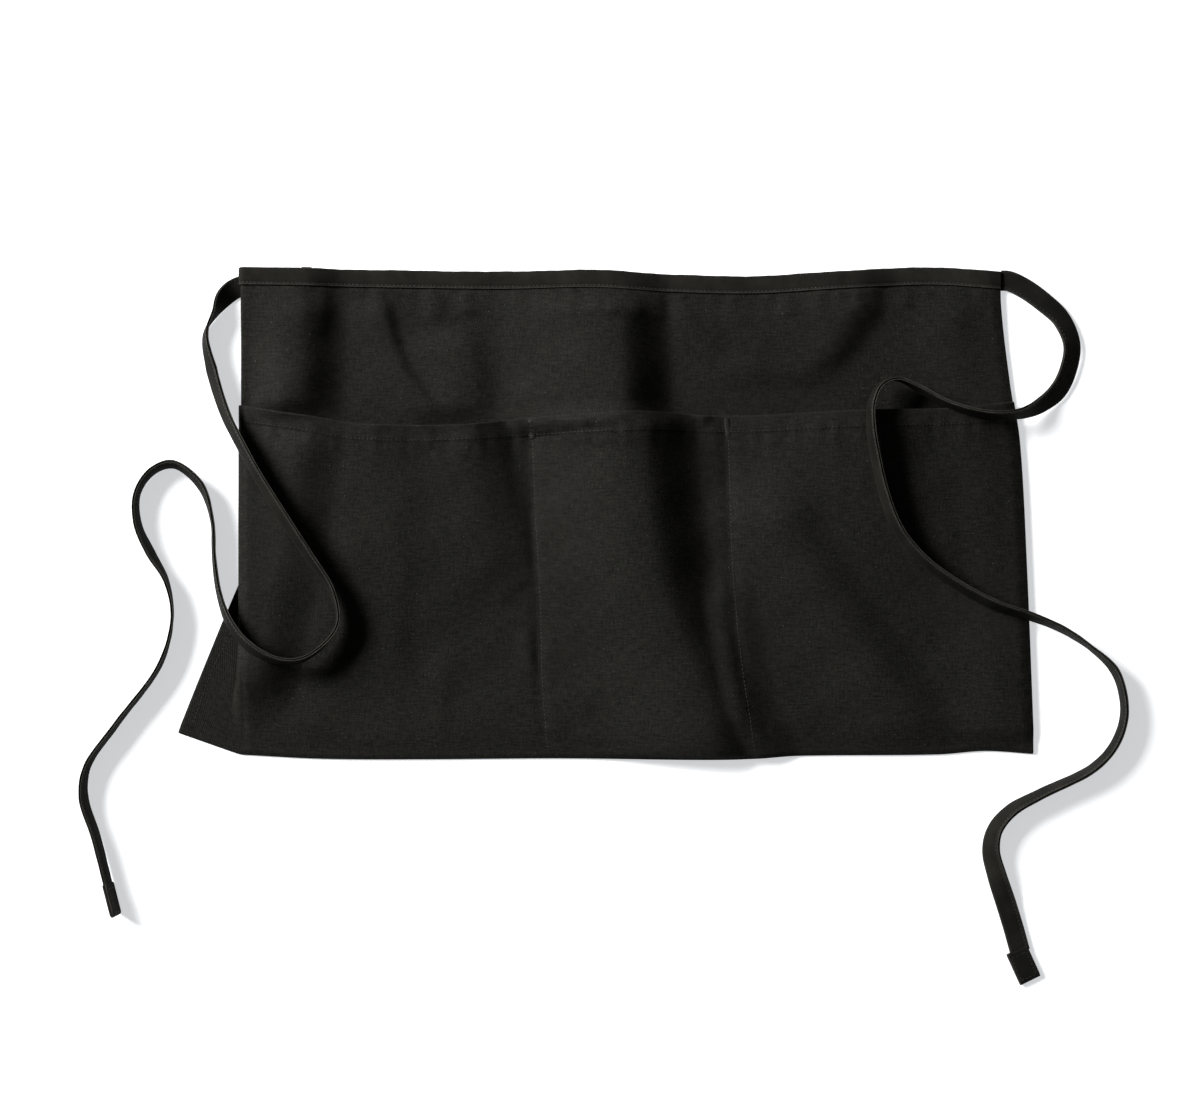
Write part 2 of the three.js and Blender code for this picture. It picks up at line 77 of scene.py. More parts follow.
def read_table(rows: Table, key: int, column: int, at: Array | float) -> Array:
    """Reads one column of a table smoothly between its rows.

    Args:
        rows: rows in rising order of their key.
        key: the column that is looked up.
        column: the column that is read.
        at: the places to read, held inside the table's ends.

    Returns:
        The values there.
    """
    keys = np.array([row[key] for row in rows], float)
    values = np.array([row[column] for row in rows], float)
    before = np.maximum(np.arange(len(keys)) - 1, 0)
    after = np.minimum(np.arange(len(keys)) + 1, len(keys) - 1)
    slopes = (values[after] - values[before]) / (keys[after] - keys[before])
    place = np.clip(at, keys[0], keys[-1])
    i = np.clip(np.searchsorted(keys, place, side="left") - 1, 0, len(keys) - 2)
    step = keys[i + 1] - keys[i]
    s = (place - keys[i]) / step
    rise = values[i + 1] - values[i]
    start, end = slopes[i] * step, slopes[i + 1] * step
    return values[i] + s * (start + s * (3 * rise - 2 * start - end + s * (start + end - 2 * rise)))


def ripple(x: Array, y: Array, waves: Table) -> Array:
    """Sums a few long waves, for cloth that never lies quite flat.

    Args:
        x: places across, in millimetres.
        y: places along, in millimetres.
        waves: rows of wavelength, heading in degrees, phase and height.

    Returns:
        The sum at each place.
    """
    total = np.zeros(np.broadcast(x, y).shape)
    for length, heading, phase, height in waves:
        turn = math.radians(heading)
        total += height * np.sin(2 * math.pi * (x * math.cos(turn) + y * math.sin(turn)) / length + phase)
    return total


def unit(vectors: Array) -> Array:
    """The vectors scaled to length 1 along their last axis."""
    return vectors / np.maximum(np.linalg.norm(vectors, axis=-1, keepdims=True), 1e-12)


def grid_normals(grid: Array) -> Array:
    """Unit normals of a grid of points, towards the apron's front.

    Args:
        grid: rows by columns by 3, rows running down and columns running across.

    Returns:
        One normal for each point.
    """
    down = np.gradient(grid, axis=0)
    along = np.gradient(grid, axis=1)
    return unit(np.cross(down, along))


def sample(grid: Array, i: Array, j: Array) -> Array:
    """Reads a grid at fractional rows and columns.

    Args:
        grid: rows by columns by any number of values.
        i: the rows.
        j: the columns.

    Returns:
        The values there, straight between the grid's points.
    """
    i = np.clip(i, 0, grid.shape[0] - 1.001)
    j = np.clip(j, 0, grid.shape[1] - 1.001)
    row, column = i.astype(int), j.astype(int)
    s, t = (i - row)[..., None], (j - column)[..., None]
    top = mix(grid[row, column], grid[row, column + 1], t)
    bottom = mix(grid[row + 1, column], grid[row + 1, column + 1], t)
    return mix(top, bottom, s)


# Sizes of the apron

@dataclass(frozen=True)
class ApronSizes:
    """The driving sizes of the cloth, waistband and ties, in millimetres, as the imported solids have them."""

    apron_height: float = 305.0
    laid_width: float = 473.5
    pocket_height: float = 218.0
    strip_width: float = 37.5
    cloth_wall: float = 1.0
    layer_gap: float = 0.4
    fold_relief: float = 20.0
    pocket_gape: float = 9.0
    gape_power: float = 1.5
    gape_depth: float = 0.8
    band_height: float = 11.0
    band_ply: float = 0.8
    band_clearance: float = 0.3
    tape_width: float = 12.7
    tape_thickness: float = 2.0
    end_tab_length: float = 19.0
    end_tab_width: float = 14.4
    end_tab_thickness: float = 3.2
    tie_clearance: float = 0.3
    upper_roll: float = 1.2
    band_roll: float = 2.0
    lower_roll: float = 2.1
    crease_lean: float = math.radians(10.6)
    crease_start: float = 0.322
    flattening_run: float = 14.0
    hem_clearance: float = 0.25
    lift_fall: float = 30.0
    lift_shelf: float = 2.0
    band_settle: float = 40.0
    least_run: float = 1.0
    least_roll: float = 4.0
    least_hem: float = 3.0

    @property
    def layer_pitch(self) -> float:
        """From the middle of one layer of cloth to the middle of the next."""
        return self.cloth_wall + self.layer_gap

    @property
    def top_y(self) -> float:
        """The apron's highest point on the floor plan."""
        return (self.apron_height + self.layer_pitch + self.cloth_wall / 2) / 2

    @property
    def bottom_y(self) -> float:
        """The body cloth's lowest point on the floor plan."""
        return self.top_y - self.apron_height

    @property
    def band_half(self) -> float:
        """Half the thickness of the waistband over the cloth."""
        return self.cloth_wall / 2 + self.band_clearance + self.band_ply

    @property
    def band_cover(self) -> float:
        """How far the waistband reaches past the cloth's top edge."""
        return self.band_ply + self.band_clearance

    @property
    def left_fold_x(self) -> float:
        """Where the left side strip turns under."""
        flare = RIGHT_HEM[-1][1] * self.laid_width
        return (self.strip_width * math.cos(2 * self.crease_lean) - self.laid_width - flare) / 2


# Outlines. Rows are the share across and the share down from the highest point
TOP_EDGE: Table = (
    (0, 0.003), (0.121, 0.006), (0.342, 0.011), (0.46, 0.008), (0.556, 0.016),
    (0.671, 0.02), (0.784, 0.011), (0.905, 0.002), (1, 0.011),
)
BOTTOM_EDGE: Table = (
    (0, 0.991), (0.1, 0.999), (0.23, 1), (0.39, 0.998), (0.62, 1),
    (0.7, 0.993), (0.88, 0.99), (0.94, 0.983), (1, 0.989),
)
# Share across, and the dip of the pocket's mouth as a share of the pocket's height
POCKET_MOUTH: Table = (
    (0, 0), (0.07, 0.022), (0.15, 0.052), (0.28, 0.054), (0.38, 0.034),
    (0.52, 0.022), (0.63, 0.03), (0.8, 0.014), (0.92, 0.008), (1, -0.01),
)
# Share down, and how far the right hem runs out as a share of the laid width
RIGHT_HEM: Table = ((0, 0), (0.08, 0), (0.24, 0.012), (0.36, 0.024), (0.61, 0.033), (1, 0.043))
# Share down, and the left and the right divider as shares across
DIVIDERS: Table = (
    (0.28, 0.373, 0.626), (0.51, 0.375, 0.625), (0.69, 0.379, 0.627), (0.85, 0.38, 0.635), (1, 0.386, 0.649),
)
# How far each pocket's mouth gapes, as a share of the pocket gape
POCKET_GAPES = (1.0, 0.5, 1.0)


@dataclass(frozen=True)
class Fold:
    """A fold of the cloth in shares of the apron's sizes: a crest line with two sides of their own run.

    The body cloth follows body_share of a pocket's fold. A fold above the pocket runs on for a share of
    the height under it.
    """

    name: str
    crest: Table
    rise: float
    fall: float
    height: tuple[float, float]
    fade_in: float
    fade_out: float
    body_share: float = 1.0
    under: float = 0.0

    def lift(self, sizes: ApronSizes, x: Array, y: Array, later: float = 0.0) -> Array:
        """How far the fold lifts the cloth.

        Args:
            sizes: the apron's sizes.
            x: places across, in millimetres.
            y: places along, in millimetres.
            later: how much further down than its own foot it ends, a share of the height.

        Returns:
            The lift at each place, in millimetres.
        """
        down = (sizes.top_y - y) / sizes.apron_height
        first, last = self.crest[0][1], self.crest[-1][1]
        start = ease((down - first + self.fade_in) / self.fade_in)
        end = ease((last + later + self.fade_out - down) / self.fade_out)
        along = np.clip((down - first) / (last - first), 0, 1)
        side = (x - sizes.left_fold_x) / sizes.laid_width - read_table(self.crest, 1, 0, down)
        across = 1 - ease(np.abs(side) / np.where(side < 0, self.rise, self.fall))
        return sizes.fold_relief * mix(self.height[0], self.height[1], along) * start * end * across


FOLDS: tuple[Fold, ...] = (
    Fold("drape over the turned strip",
         ((0.057, 0.12), (0.06, 0.27)),
         0.05, 0.08, (0.2, 0.34), 0.11, 0.05),
    Fold("faint fold above the left pocket",
         ((0.29, 0.07), (0.285, 0.28)),
         0.09, 0.06, (0.05, 0.12), 0.05, 0.05),
    Fold("main fold above the middle pocket",
         ((0.498, 0.1), (0.503, 0.27)),
         0.21, 0.07, (0.66, 0.86), 0.09, 0.06, 1.0, 0.04),
    Fold("slanting fold above the right pocket",
         ((0.808, 0.05), (0.798, 0.086), (0.779, 0.129), (0.761, 0.176), (0.74, 0.208)),
         0.12, 0.062, (0.26, 0.12), 0.04, 0.05),
    Fold("fold down to the left divider",
         ((0.3, 0.3), (0.32, 0.6)),
         0.08, 0.07, (0.25, 0.15), 0.04, 0.1, 0.0),
    Fold("main fold of the middle pocket",
         ((0.523, 0.33), (0.538, 0.52), (0.556, 0.67), (0.581, 0.77), (0.608, 0.87), (0.622, 0.98)),
         0.19, 0.08, (0.85, 0.62), 0.06, 0.08, 0.4),
    Fold("slanting fold beside the right divider",
         ((0.635, 0.7), (0.65, 0.81), (0.664, 0.9), (0.69, 0.99)),
         0.03, 0.052, (0.2, 0.26), 0.1, 0.05),
    Fold("broad slanting fold of the right pocket",
         ((0.702, 0.53), (0.735, 0.6), (0.78, 0.7), (0.812, 0.77), (0.847, 0.84), (0.885, 0.92)),
         0.12, 0.07, (0.22, 0.16), 0.14, 0.08),
    Fold("roll along the right hem", ((0.982, 0.06), (1.007, 0.4), (1.023, 0.94)),
         0.11, 0.032, (0.14, 0.14), 0.05, 0.04),
)


@dataclass(frozen=True)
class Crease:
    """A small crease: a line on the floor plan in millimetres, how wide its two sides are and its height."""

    line: Table
    left: float
    right: float
    height: float

    def lift(self, x: Array, y: Array) -> Array:
        """How far the crease lifts the cloth.

        Args:
            x: places across, in millimetres.
            y: places along, in millimetres.

        Returns:
            The lift at each place, fading out past both ends of the line.
        """
        best = np.full(np.broadcast(x, y).shape, 1e9)
        lift = np.zeros_like(best)
        total = sum(math.dist(a, b) for a, b in zip(self.line, self.line[1:]))
        done = 0.0
        for (ax, ay), (bx, by) in zip(self.line, self.line[1:]):
            length = math.hypot(bx - ax, by - ay)
            ux, uy = (bx - ax) / length, (by - ay) / length
            along = np.clip((x - ax) * ux + (y - ay) * uy, 0, length)
            dx, dy = x - ax - along * ux, y - ay - along * uy
            away = np.hypot(dx, dy)
            side = np.where(dx * uy - dy * ux < 0, self.right, self.left)
            share = (done + along) / total
            # It swells over its first third and dies away over its last
            height = self.height * ease(share / 0.3 + 0.15) * ease((1 - share) / 0.35 + 0.1)
            here = height * np.exp(-((away / side) ** 2))
            lift = np.where(away < best, here, lift)
            best = np.minimum(best, away)
            done += length
        return lift


def from_photo(*pixels: tuple[float, float]) -> tuple[tuple[float, float], ...]:
    """Places on the floor plan of places read off the photo, in pixels."""
    return tuple(
        (FLOOR_MARK[0] + (px - PHOTO_MARK[0]) * PIXEL, FLOOR_MARK[1] - (py - PHOTO_MARK[1]) * PIXEL)
        for px, py in pixels)


# Small creases above the pocket, followed by the body cloth and by the pocket cloth over it
BODY_CREASES: tuple[Crease, ...] = (
    Crease(from_photo((308, 288), (308, 340), (306, 410)), 24, 13, 3.0),
    Crease(from_photo((325, 284), (326, 310), (322, 345)), 9, 4, 1.0),
    Crease(from_photo((376, 280), (383, 307), (394, 350), (404, 374), (422, 397), (446, 424)), 20, 5.0, 3.0),
    Crease(from_photo((436, 291), (438, 326)), 8, 5, 1.2),
    Crease(from_photo((470, 291), (472, 318)), 8, 5, 1.0),
    Crease(from_photo((462, 325), (472, 370), (482, 430)), 34, 11, 3.0),
    Crease(from_photo((520, 385), (540, 396), (566, 400)), 8, 4, 1.0),
    Crease(from_photo((598, 294), (596, 316)), 5, 4, 1.0),
    Crease(from_photo((614, 295), (612, 320)), 5, 4, 1.1),
    Crease(from_photo((634, 296), (640, 322)), 5, 4, 0.9),
    Crease(from_photo((655, 297), (664, 322)), 6, 4, 0.9),
    Crease(from_photo((676, 298), (690, 324), (726, 357)), 12, 8, 1.3),
    Crease(from_photo((787, 296), (789, 320)), 7, 4, 0.9),
    Crease(from_photo((878, 288), (866, 309), (851, 330), (834, 352), (806, 370)), 12, 8, 1.6),
    Crease(from_photo((858, 290), (863, 312)), 6, 4, 0.9),
    Crease(from_photo((905, 290), (904, 310)), 6, 4, 0.8),
    Crease(from_photo((747, 300), (752, 340), (748, 396)), 22, 14, 1.2),
    Crease(from_photo((952, 300), (947, 350), (954, 392)), 18, 12, 1.2),
)
# Small creases of the pocket cloth alone
POCKET_CREASES: tuple[Crease, ...] = (
    Crease(from_photo((429, 424), (434, 452)), 5, 3, 1.0),
    Crease(from_photo((433, 409), (419, 431)), 8, 3, 1.6),
    Crease(from_photo((412, 414), (366, 429)), 9, 4, 1.3),
    Crease(from_photo((478, 419), (474, 449)), 6, 3, 0.8),
    Crease(from_photo((519, 415), (515, 436)), 4, 3, 0.6),
    Crease(from_photo((488, 405), (496, 450), (508, 500), (524, 590)), 24, 8, 2.3),
    Crease(from_photo((528, 577), (510, 592), (491, 605)), 7, 4, 0.9),
    Crease(from_photo((524, 628), (532, 655), (533, 682)), 7, 4, 0.9),
    Crease(from_photo((765, 470), (798, 535), (842, 607), (915, 725)), 28, 17, 2.0),
    Crease(from_photo((328, 515), (354, 562), (386, 630), (402, 720)), 30, 15, 2.4),
    Crease(from_photo((228, 640), (238, 664), (256, 706)), 9, 4, 0.9),
    Crease(from_photo((715, 407), (698, 426)), 7, 3, 1.6),
    Crease(from_photo((548, 602), (565, 620), (582, 639)), 9, 7, 0.7),
    Crease(from_photo((557, 683), (578, 697), (599, 711)), 9, 6, 0.7),
    Crease(from_photo((584, 728), (599, 750)), 8, 5, 0.7),
    Crease(from_photo((318, 530), (330, 580), (322, 660)), 14, 8, 0.8),
    Crease(from_photo((389, 500), (402, 580), (392, 680)), 13, 8, 0.8),
    Crease(from_photo((930, 450), (944, 530), (960, 600)), 12, 7, 0.8),
    Crease(from_photo((830, 430), (842, 470)), 8, 5, 0.7),
    Crease(from_photo((270, 690), (300, 720), (335, 738)), 9, 6, 0.7),
    Crease(from_photo((455, 640), (440, 700), (446, 745)), 12, 7, 0.8),
)


class Layer(Enum):
    """The two layers of cloth."""

    BODY = "body"
    POCKET = "pocket"


class Face(Enum):
    """The two faces of a sheet."""

    FRONT = 1
    BACK = -1


# Long low waves of the cloth, in rows of wavelength, heading in degrees, phase and height
BODY_WAVES: Table = ((71, 12, 0.4, 0.22), (47, 68, 1.9, 0.16), (33, 130, 4.1, 0.12), (113, 95, 2.7, 0.25))
POCKET_WAVES: Table = ((58, 20, 1.1, 0.2), (39, 104, 0.2, 0.16), (83, 61, 3.3, 0.22))
BAND_WAVES: Table = ((23, 0, 0.2, 0.1), (9, 0, 1.3, 0.07), (61, 0, 2.0, 0.12))
# Short waves where thread draws the cloth together: under the waistband, along seams and under the mouth
BAND_GATHERS: Table = ((17, 4, 0.3, 0.22), (11, -5, 2.2, 0.16), (27, 2, 1.1, 0.2))
SEAM_TUCKS: Table = ((9.3, 84, 0.4, 0.2), (6.1, 97, 1.6, 0.14), (15, 78, 2.9, 0.2))
MOUTH_GATHERS: Table = ((13, 3, 0.9, 0.2), (8.1, -4, 2.4, 0.15), (31, 0, 0.2, 0.2))

# How far rows are from the pocket's mouth and columns from the right hem, where hems need finer cells
HEM_ROWS = (0.5, 1.3, 2.8, 4.8, 6.8, 8.6, 9.8, 10.5, 11.2, 12.2)
HEM_COLUMNS = (0.5, 1.3, 2.6, 4.2, 5.8, 7.0, 7.7, 8.4, 9.4)
IN_BAND_ROWS = 6
UPPER_ROWS = 44
POCKET_ROWS = 104
MAIN_COLUMNS = 236
LIP_ROWS = 6
# Cells of the turned strip: round its fold, along its run, round its slanting crease and to its hem
STRIP_CELLS = (10, 8, 12, 22)
PATH_STEP = 0.05
# The strip's seen part is drawn this much wider, within these limits, to meet its corner in the photo
STRIP_STRETCH = 1.06
STRIP_LIMITS = (0.55, 1.1)


@dataclass
class LaidCloth:
    """Both layers of cloth as they lie: middle points of fine grids, and their places on the flat cloth.

    A row's place is -1 at the cloth's top edge, 0 at the waistband's lower edge, 1 at the pocket's mouth
    and 2 at the bottom edge. Columns run from the hem of the turned strip to the right hem.
    """

    sizes: ApronSizes
    places: Array = field(init=False)
    across: Array = field(init=False)
    body: Array = field(init=False)
    pocket: Array = field(init=False)
    flat: Array = field(init=False)

    def __post_init__(self) -> None:
        """Lays both layers."""
        hem_rows = [1 + d / self.sizes.pocket_height for d in HEM_ROWS]
        self.places = np.concatenate([
            np.linspace(-1, 0, IN_BAND_ROWS),
            np.linspace(0, 1, UPPER_ROWS + 1)[1:],
            hem_rows,
            np.linspace(hem_rows[-1], 2, POCKET_ROWS + 1)[1:],
        ])
        hem_columns = [1 - d / self.sizes.laid_width for d in reversed(HEM_COLUMNS)]
        self.across = np.concatenate([np.linspace(0, hem_columns[0], MAIN_COLUMNS), hem_columns[1:], [1.0]])
        rows = [self._body_row(place) for place in self.places]
        self.body = np.array([points for points, _ in rows])
        self.flat = np.array([flat for _, flat in rows])
        self.pocket = self._pocket_grid()

    @property
    def strip_columns(self) -> int:
        """How many columns lie in the turned strip."""
        return sum(STRIP_CELLS)

    @property
    def pocket_start(self) -> int:
        """The row of the pocket's mouth."""
        return IN_BAND_ROWS + UPPER_ROWS - 1

    def band_line(self, across: Array | float) -> Array:
        """Where the waistband's lower edge runs."""
        s = self.sizes
        return s.top_y - read_table(TOP_EDGE, 0, 1, across) * s.apron_height - s.band_height

    def mouth_line(self, across: Array | float) -> Array:
        """Where the pocket's mouth runs."""
        s = self.sizes
        return s.bottom_y + s.pocket_height * (1 - read_table(POCKET_MOUTH, 0, 1, across))

    def bottom_line(self, across: Array | float) -> Array:
        """Where the bottom edge runs."""
        return self.sizes.top_y - read_table(BOTTOM_EDGE, 0, 1, across) * self.sizes.apron_height

    def row_y(self, place: float, across: Array | float) -> Array:
        """Where a row runs on the floor plan.

        Args:
            place: the row's place.
            across: shares of the way across.

        Returns:
            How far up the floor plan it lies at each share.
        """
        if place <= 0:
            return self.band_line(across) - place * (self.sizes.band_height - self.sizes.band_cover)
        if place <= 1:
            return mix(self.band_line(across), self.mouth_line(across), place)
        return mix(self.mouth_line(across), self.bottom_line(across), place - 1)

    def right_hem_x(self, y: Array) -> Array:
        """Where the right hem runs at a height on the floor plan."""
        down = (self.sizes.top_y - y) / self.sizes.apron_height
        return self.sizes.left_fold_x + self.sizes.laid_width * (1 + read_table(RIGHT_HEM, 0, 1, down))

    def column(self, across: Array | float) -> Array:
        """The fractional column at a share of the way across."""
        return self.strip_columns + np.interp(across, self.across, np.arange(len(self.across)))

    def row(self, place: Array | float, layer: Layer) -> Array:
        """The fractional row of a layer at a place."""
        first = self.pocket_start if layer is Layer.POCKET else 0
        return np.interp(place, self.places, np.arange(len(self.places))) - first

    def divider(self, number: int, y: Array) -> Array:
        """The share across of the left (1) or right (2) divider at a height on the floor plan."""
        return read_table(DIVIDERS, 0, number, (self.sizes.top_y - y) / self.sizes.apron_height)

    def divider_line(self, number: int, places: Array) -> Array:
        """Follows a divider down from the pocket's mouth.

        Args:
            number: 1 for the left divider and 2 for the right one.
            places: the rows' places along it.

        Returns:
            The share across at each place, found by going round a few times because rows slant.
        """
        across = np.full_like(places, DIVIDERS[0][number])
        for _ in range(4):
            across = self.divider(number, mix(self.mouth_line(across), self.bottom_line(across), places - 1))
        return across

    def _near_band(self, y: Array, across: Array | float) -> Array:
        """How much of the waistband's thickness the cloth still lies on."""
        return ease((y - self.band_line(across) + self.sizes.band_settle) / self.sizes.band_settle)

    def _strip(self, place: float) -> tuple[Array, float]:
        """The turned strip of one row.

        Args:
            place: the row's place.

        Returns:
            Rows of x, y, z and distance along the cloth from the fold, starting where the strip joins the
            flat part, and how far from the fold the strip's slanting crease lies.
        """
        s = self.sizes
        y = float(self.row_y(place, 0.0))
        under_band = float(self._near_band(y, 0.0))
        roll = mix(s.upper_roll, s.band_roll, under_band)
        turn_one, turn_two = math.pi * roll, math.pi * s.lower_roll
        crease_top = s.top_y - s.crease_start * s.apron_height
        crease = max(s.strip_width - math.tan(s.crease_lean) * (crease_top - y), 0)
        bend = math.pi * float(ease(crease / s.flattening_run))

        def outward(t: Array) -> Array:
            """How far the second turn has gone."""
            return np.clip((t - crease + turn_two / 2) / turn_two, 0, 1)

        def turned(t: Array) -> Array:
            """The cloth's angle."""
            return bend * (np.clip((t + turn_one / 2) / turn_one, 0, 1) - outward(t))

        last_run_end = s.strip_width - s.least_roll - s.least_hem - s.least_run
        run_end = min(max(crease - turn_two / 2, turn_one / 2 + s.least_run), last_run_end)
        roll_end = min(max(crease + turn_two / 2, run_end + s.least_roll), s.strip_width - s.least_hem)
        stops = [-turn_one / 2, turn_one / 2, run_end, roll_end, s.strip_width]
        stations = [stops[0]]
        for start, end, cells in zip(stops, stops[1:], STRIP_CELLS):
            stations.extend(np.linspace(start, end, cells + 1)[1:])

        fine = np.arange(stops[0], s.strip_width + PATH_STEP, PATH_STEP)
        middle = fine[:-1] + PATH_STEP / 2
        angle, lean = turned(middle), 2 * s.crease_lean * outward(middle)
        steps = np.stack([-np.cos(angle) * np.cos(lean), np.cos(angle) * np.sin(lean), -np.sin(angle)], 1)
        line = np.vstack([np.zeros(3), np.cumsum(steps * PATH_STEP, 0)])
        line += (s.left_fold_x + s.layer_pitch + s.cloth_wall / 2 + roll, y, 0)
        points = np.stack([np.interp(stations, fine, line[:, k]) for k in range(3)], 1)

        faces_up = np.cos(turned(np.array(stations)))
        front = s.band_half if place <= 0 else mix(
            s.layer_pitch + s.cloth_wall / 2 + s.hem_clearance, s.band_half, under_band)
        back = s.band_half if place <= 0 else s.cloth_wall / 2
        lowest = np.min(points[:, 2] - np.where(faces_up > 0, back, front) * np.abs(faces_up))
        points[:, 2] += (s.tape_thickness + 2 * s.tie_clearance) * under_band - lowest
        outside = s.left_fold_x - points[:, 0]
        covered = max(math.tan(s.crease_lean) * (y - float(self.bottom_line(0.0))), 0)
        wanted = STRIP_STRETCH * (s.strip_width - covered) * math.cos(2 * s.crease_lean) - covered
        if wanted > 0 and outside[-1] > 0:
            points[:, 0] += np.maximum(outside, 0) * (1 - np.clip(wanted / outside[-1], *STRIP_LIMITS))
        return np.column_stack([points, stations]), crease

    def _relief(self, x: Array, y: Array, across: Array) -> Array:
        """Small unevenness of the body cloth: long waves, creases and gathers under the waistband.

        Args:
            x: places across, in millimetres.
            y: places along, in millimetres.
            across: the same places as shares across.

        Returns:
            The lift at each place, fading out at the hems.
        """
        s = self.sizes
        width = s.laid_width
        # The cloth lies quiet within a few centimetres of its side hems, bottom edge and waistband
        edges = ease(across * width / 30 - 0.3) * ease((1 - across) * width / 22 - 0.2)
        foot = ease((y - self.bottom_line(across)) / 25)
        below = np.maximum(self.band_line(across) - y, 0)
        head = ease(below / 16)
        waves = ripple(x, y, BODY_WAVES)
        small = sum(crease.lift(x, y) for crease in BODY_CREASES)
        gathers = ripple(x, y, BAND_GATHERS)
        near = ease(below / 2) * np.exp(-below / 11)
        return edges * foot * (head * (0.75 + waves + small) + near * (0.55 + gathers + small * 0.5))

    def _body_row(self, place: float) -> tuple[Array, Array]:
        """One row of the body cloth's middle surface.

        Args:
            place: the row's place.

        Returns:
            The points from the strip's hem to the right hem, and their places on the flat cloth.
        """
        s = self.sizes
        strip, crease = self._strip(place)
        joint = strip[0]
        y = self.row_y(place, self.across)
        x = mix(joint[0], self.right_hem_x(y), self.across)
        near = np.ones_like(y) if place <= 0 else self._near_band(y, self.across)
        rest = mix(s.cloth_wall / 2, s.band_half, near)
        shelf = s.left_fold_x + min(crease, s.strip_width) + s.lift_shelf
        lift = (joint[2] - rest) * (1 - ease((x - shelf) / s.lift_fall))
        fold_y = self.band_line(self.across) if place <= 0 else y
        folds = sum(fold.body_share * fold.lift(s, x, fold_y, fold.under) for fold in FOLDS)
        relief = self._relief(x, y, self.across)
        main = np.stack([x, y, rest + lift + folds + relief], 1)
        points = np.vstack([strip[:0:-1, :3], main])
        flat_x = np.concatenate([-strip[:0:-1, 3], x - joint[0] - joint[3]])
        flat_y = np.concatenate([np.full(len(strip) - 1, y[0]), y])
        return points, np.stack([flat_x, flat_y], 1)

    def _pocket_lift(self, x: Array, y: Array, across: Array) -> Array:
        """How far the pocket cloth stands off the body besides its own layer: gape, folds and puckers.

        Args:
            x: places across, in millimetres.
            y: places along, in millimetres.
            across: the same places as shares across.

        Returns:
            The lift at each place, which is nothing where the cloth is sewn down.
        """
        s = self.sizes
        share = (x - s.left_fold_x) / (self.right_hem_x(y) - s.left_fold_x)
        lines = [np.zeros_like(y), self.divider(1, y), self.divider(2, y), np.ones_like(y)]
        mouth = self.mouth_line(share)
        depth = (mouth - y) / s.pocket_height
        lift = np.zeros_like(x)
        for gape, start, end in zip(POCKET_GAPES, lines, lines[1:]):
            inside = (share >= start) & (share <= end)
            middle = np.clip((share - start) / (end - start), 0, 1)
            sideways = (4 * middle * (1 - middle)) ** s.gape_power
            lift += np.where(inside, s.pocket_gape * gape * sideways * (1 - ease(depth / s.gape_depth)), 0)
        off_seam = np.min([np.abs(share - line) for line in lines], axis=0) * s.laid_width
        lift += sum((1 - fold.body_share) * fold.lift(s, x, y) for fold in FOLDS)
        lift -= sum(fold.lift(s, x, y, fold.under) - fold.lift(s, x, y) for fold in FOLDS if fold.under)
        # Where a fold of the body runs on under the pocket, the pocket cloth bridges it and never dips in
        lift = (lift + np.sqrt(lift ** 2 + 0.4)) / 2
        # Between its seams the cloth puffs up, and thread pulls tucks along the seams and under the mouth
        foot = ease((y - self.bottom_line(across)) / 14)
        puff = 0.5 * ease(off_seam / 7) * foot
        small = sum(crease.lift(x, y) for crease in POCKET_CREASES) * ease(off_seam / 5) * foot
        tucks = ripple(x, y, SEAM_TUCKS)
        pull = ease(off_seam / 1.5) * np.exp(-off_seam / 6) * foot * (0.3 + tucks)
        drawn = ripple(x, y, MOUTH_GATHERS)
        hem = np.exp(-(((mouth - y - 12) / 8) ** 2)) * (0.3 + drawn) * ease(off_seam / 6)
        waves = ripple(x, y, POCKET_WAVES)
        return lift + puff + small + np.maximum(pull, 0) + np.maximum(hem, 0) + puff * (0.5 + waves)

    def _pocket_grid(self) -> Array:
        """Lays the pocket cloth over the body cloth.

        Returns:
            Its middle surface, with a quarter turn round the body's bottom edge as its last rows.
        """
        s = self.sizes
        body = self.body[self.pocket_start:]
        normals = grid_normals(self.body)[self.pocket_start:]
        raised = body + normals * s.layer_pitch
        main = raised[:, self.strip_columns + 1:]
        main[..., 2] += self._pocket_lift(main[..., 0], main[..., 1], self.across[None, 1:])
        last, normal = body[-1], normals[-1]
        down = (body[-1] - body[-2]) * (1, 1, 0)
        turns = np.linspace(0, math.pi / 2, LIP_ROWS + 1)[1:]
        lip = [last + s.layer_pitch * (normal * math.cos(t) + unit(down) * math.sin(t)) for t in turns]
        return np.concatenate([raised, lip])


# Meshes

def make_object(name: str, points: Array, faces: list, flat: Array | None = None,
                worn: Array | None = None) -> bpy.types.Object:
    """Makes a smooth mesh object from points in millimetres.

    Args:
        name: the object's name.
        points: its points.
        faces: its faces as lists of point numbers.
        flat: each point's place on the flat material in millimetres, for the texture map in metres.
        worn: how worn each point is, from 0 to 1.

    Returns:
        The object, riding on the root body.
    """
    mesh = bpy.data.meshes.new(name)
    mesh.from_pydata((points * MM).tolist(), [], faces)
    mesh.polygons.foreach_set("use_smooth", np.ones(len(mesh.polygons), bool))
    if flat is not None:
        corners = np.zeros(len(mesh.loops), int)
        mesh.loops.foreach_get("vertex_index", corners)
        layer = mesh.uv_layers.new(name="flat")
        layer.data.foreach_set("uv", (flat[corners] * MM).astype(np.float32).ravel())
    wear = mesh.attributes.new("worn", "FLOAT", "POINT")
    wear.data.foreach_set("value", (np.zeros(len(points)) if worn is None else worn).astype(np.float32))
    mesh.validate()
    mesh.update()
    obj = bpy.data.objects.new(name, mesh)
    bpy.context.scene.collection.objects.link(obj)
    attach(obj, "root")
    return obj


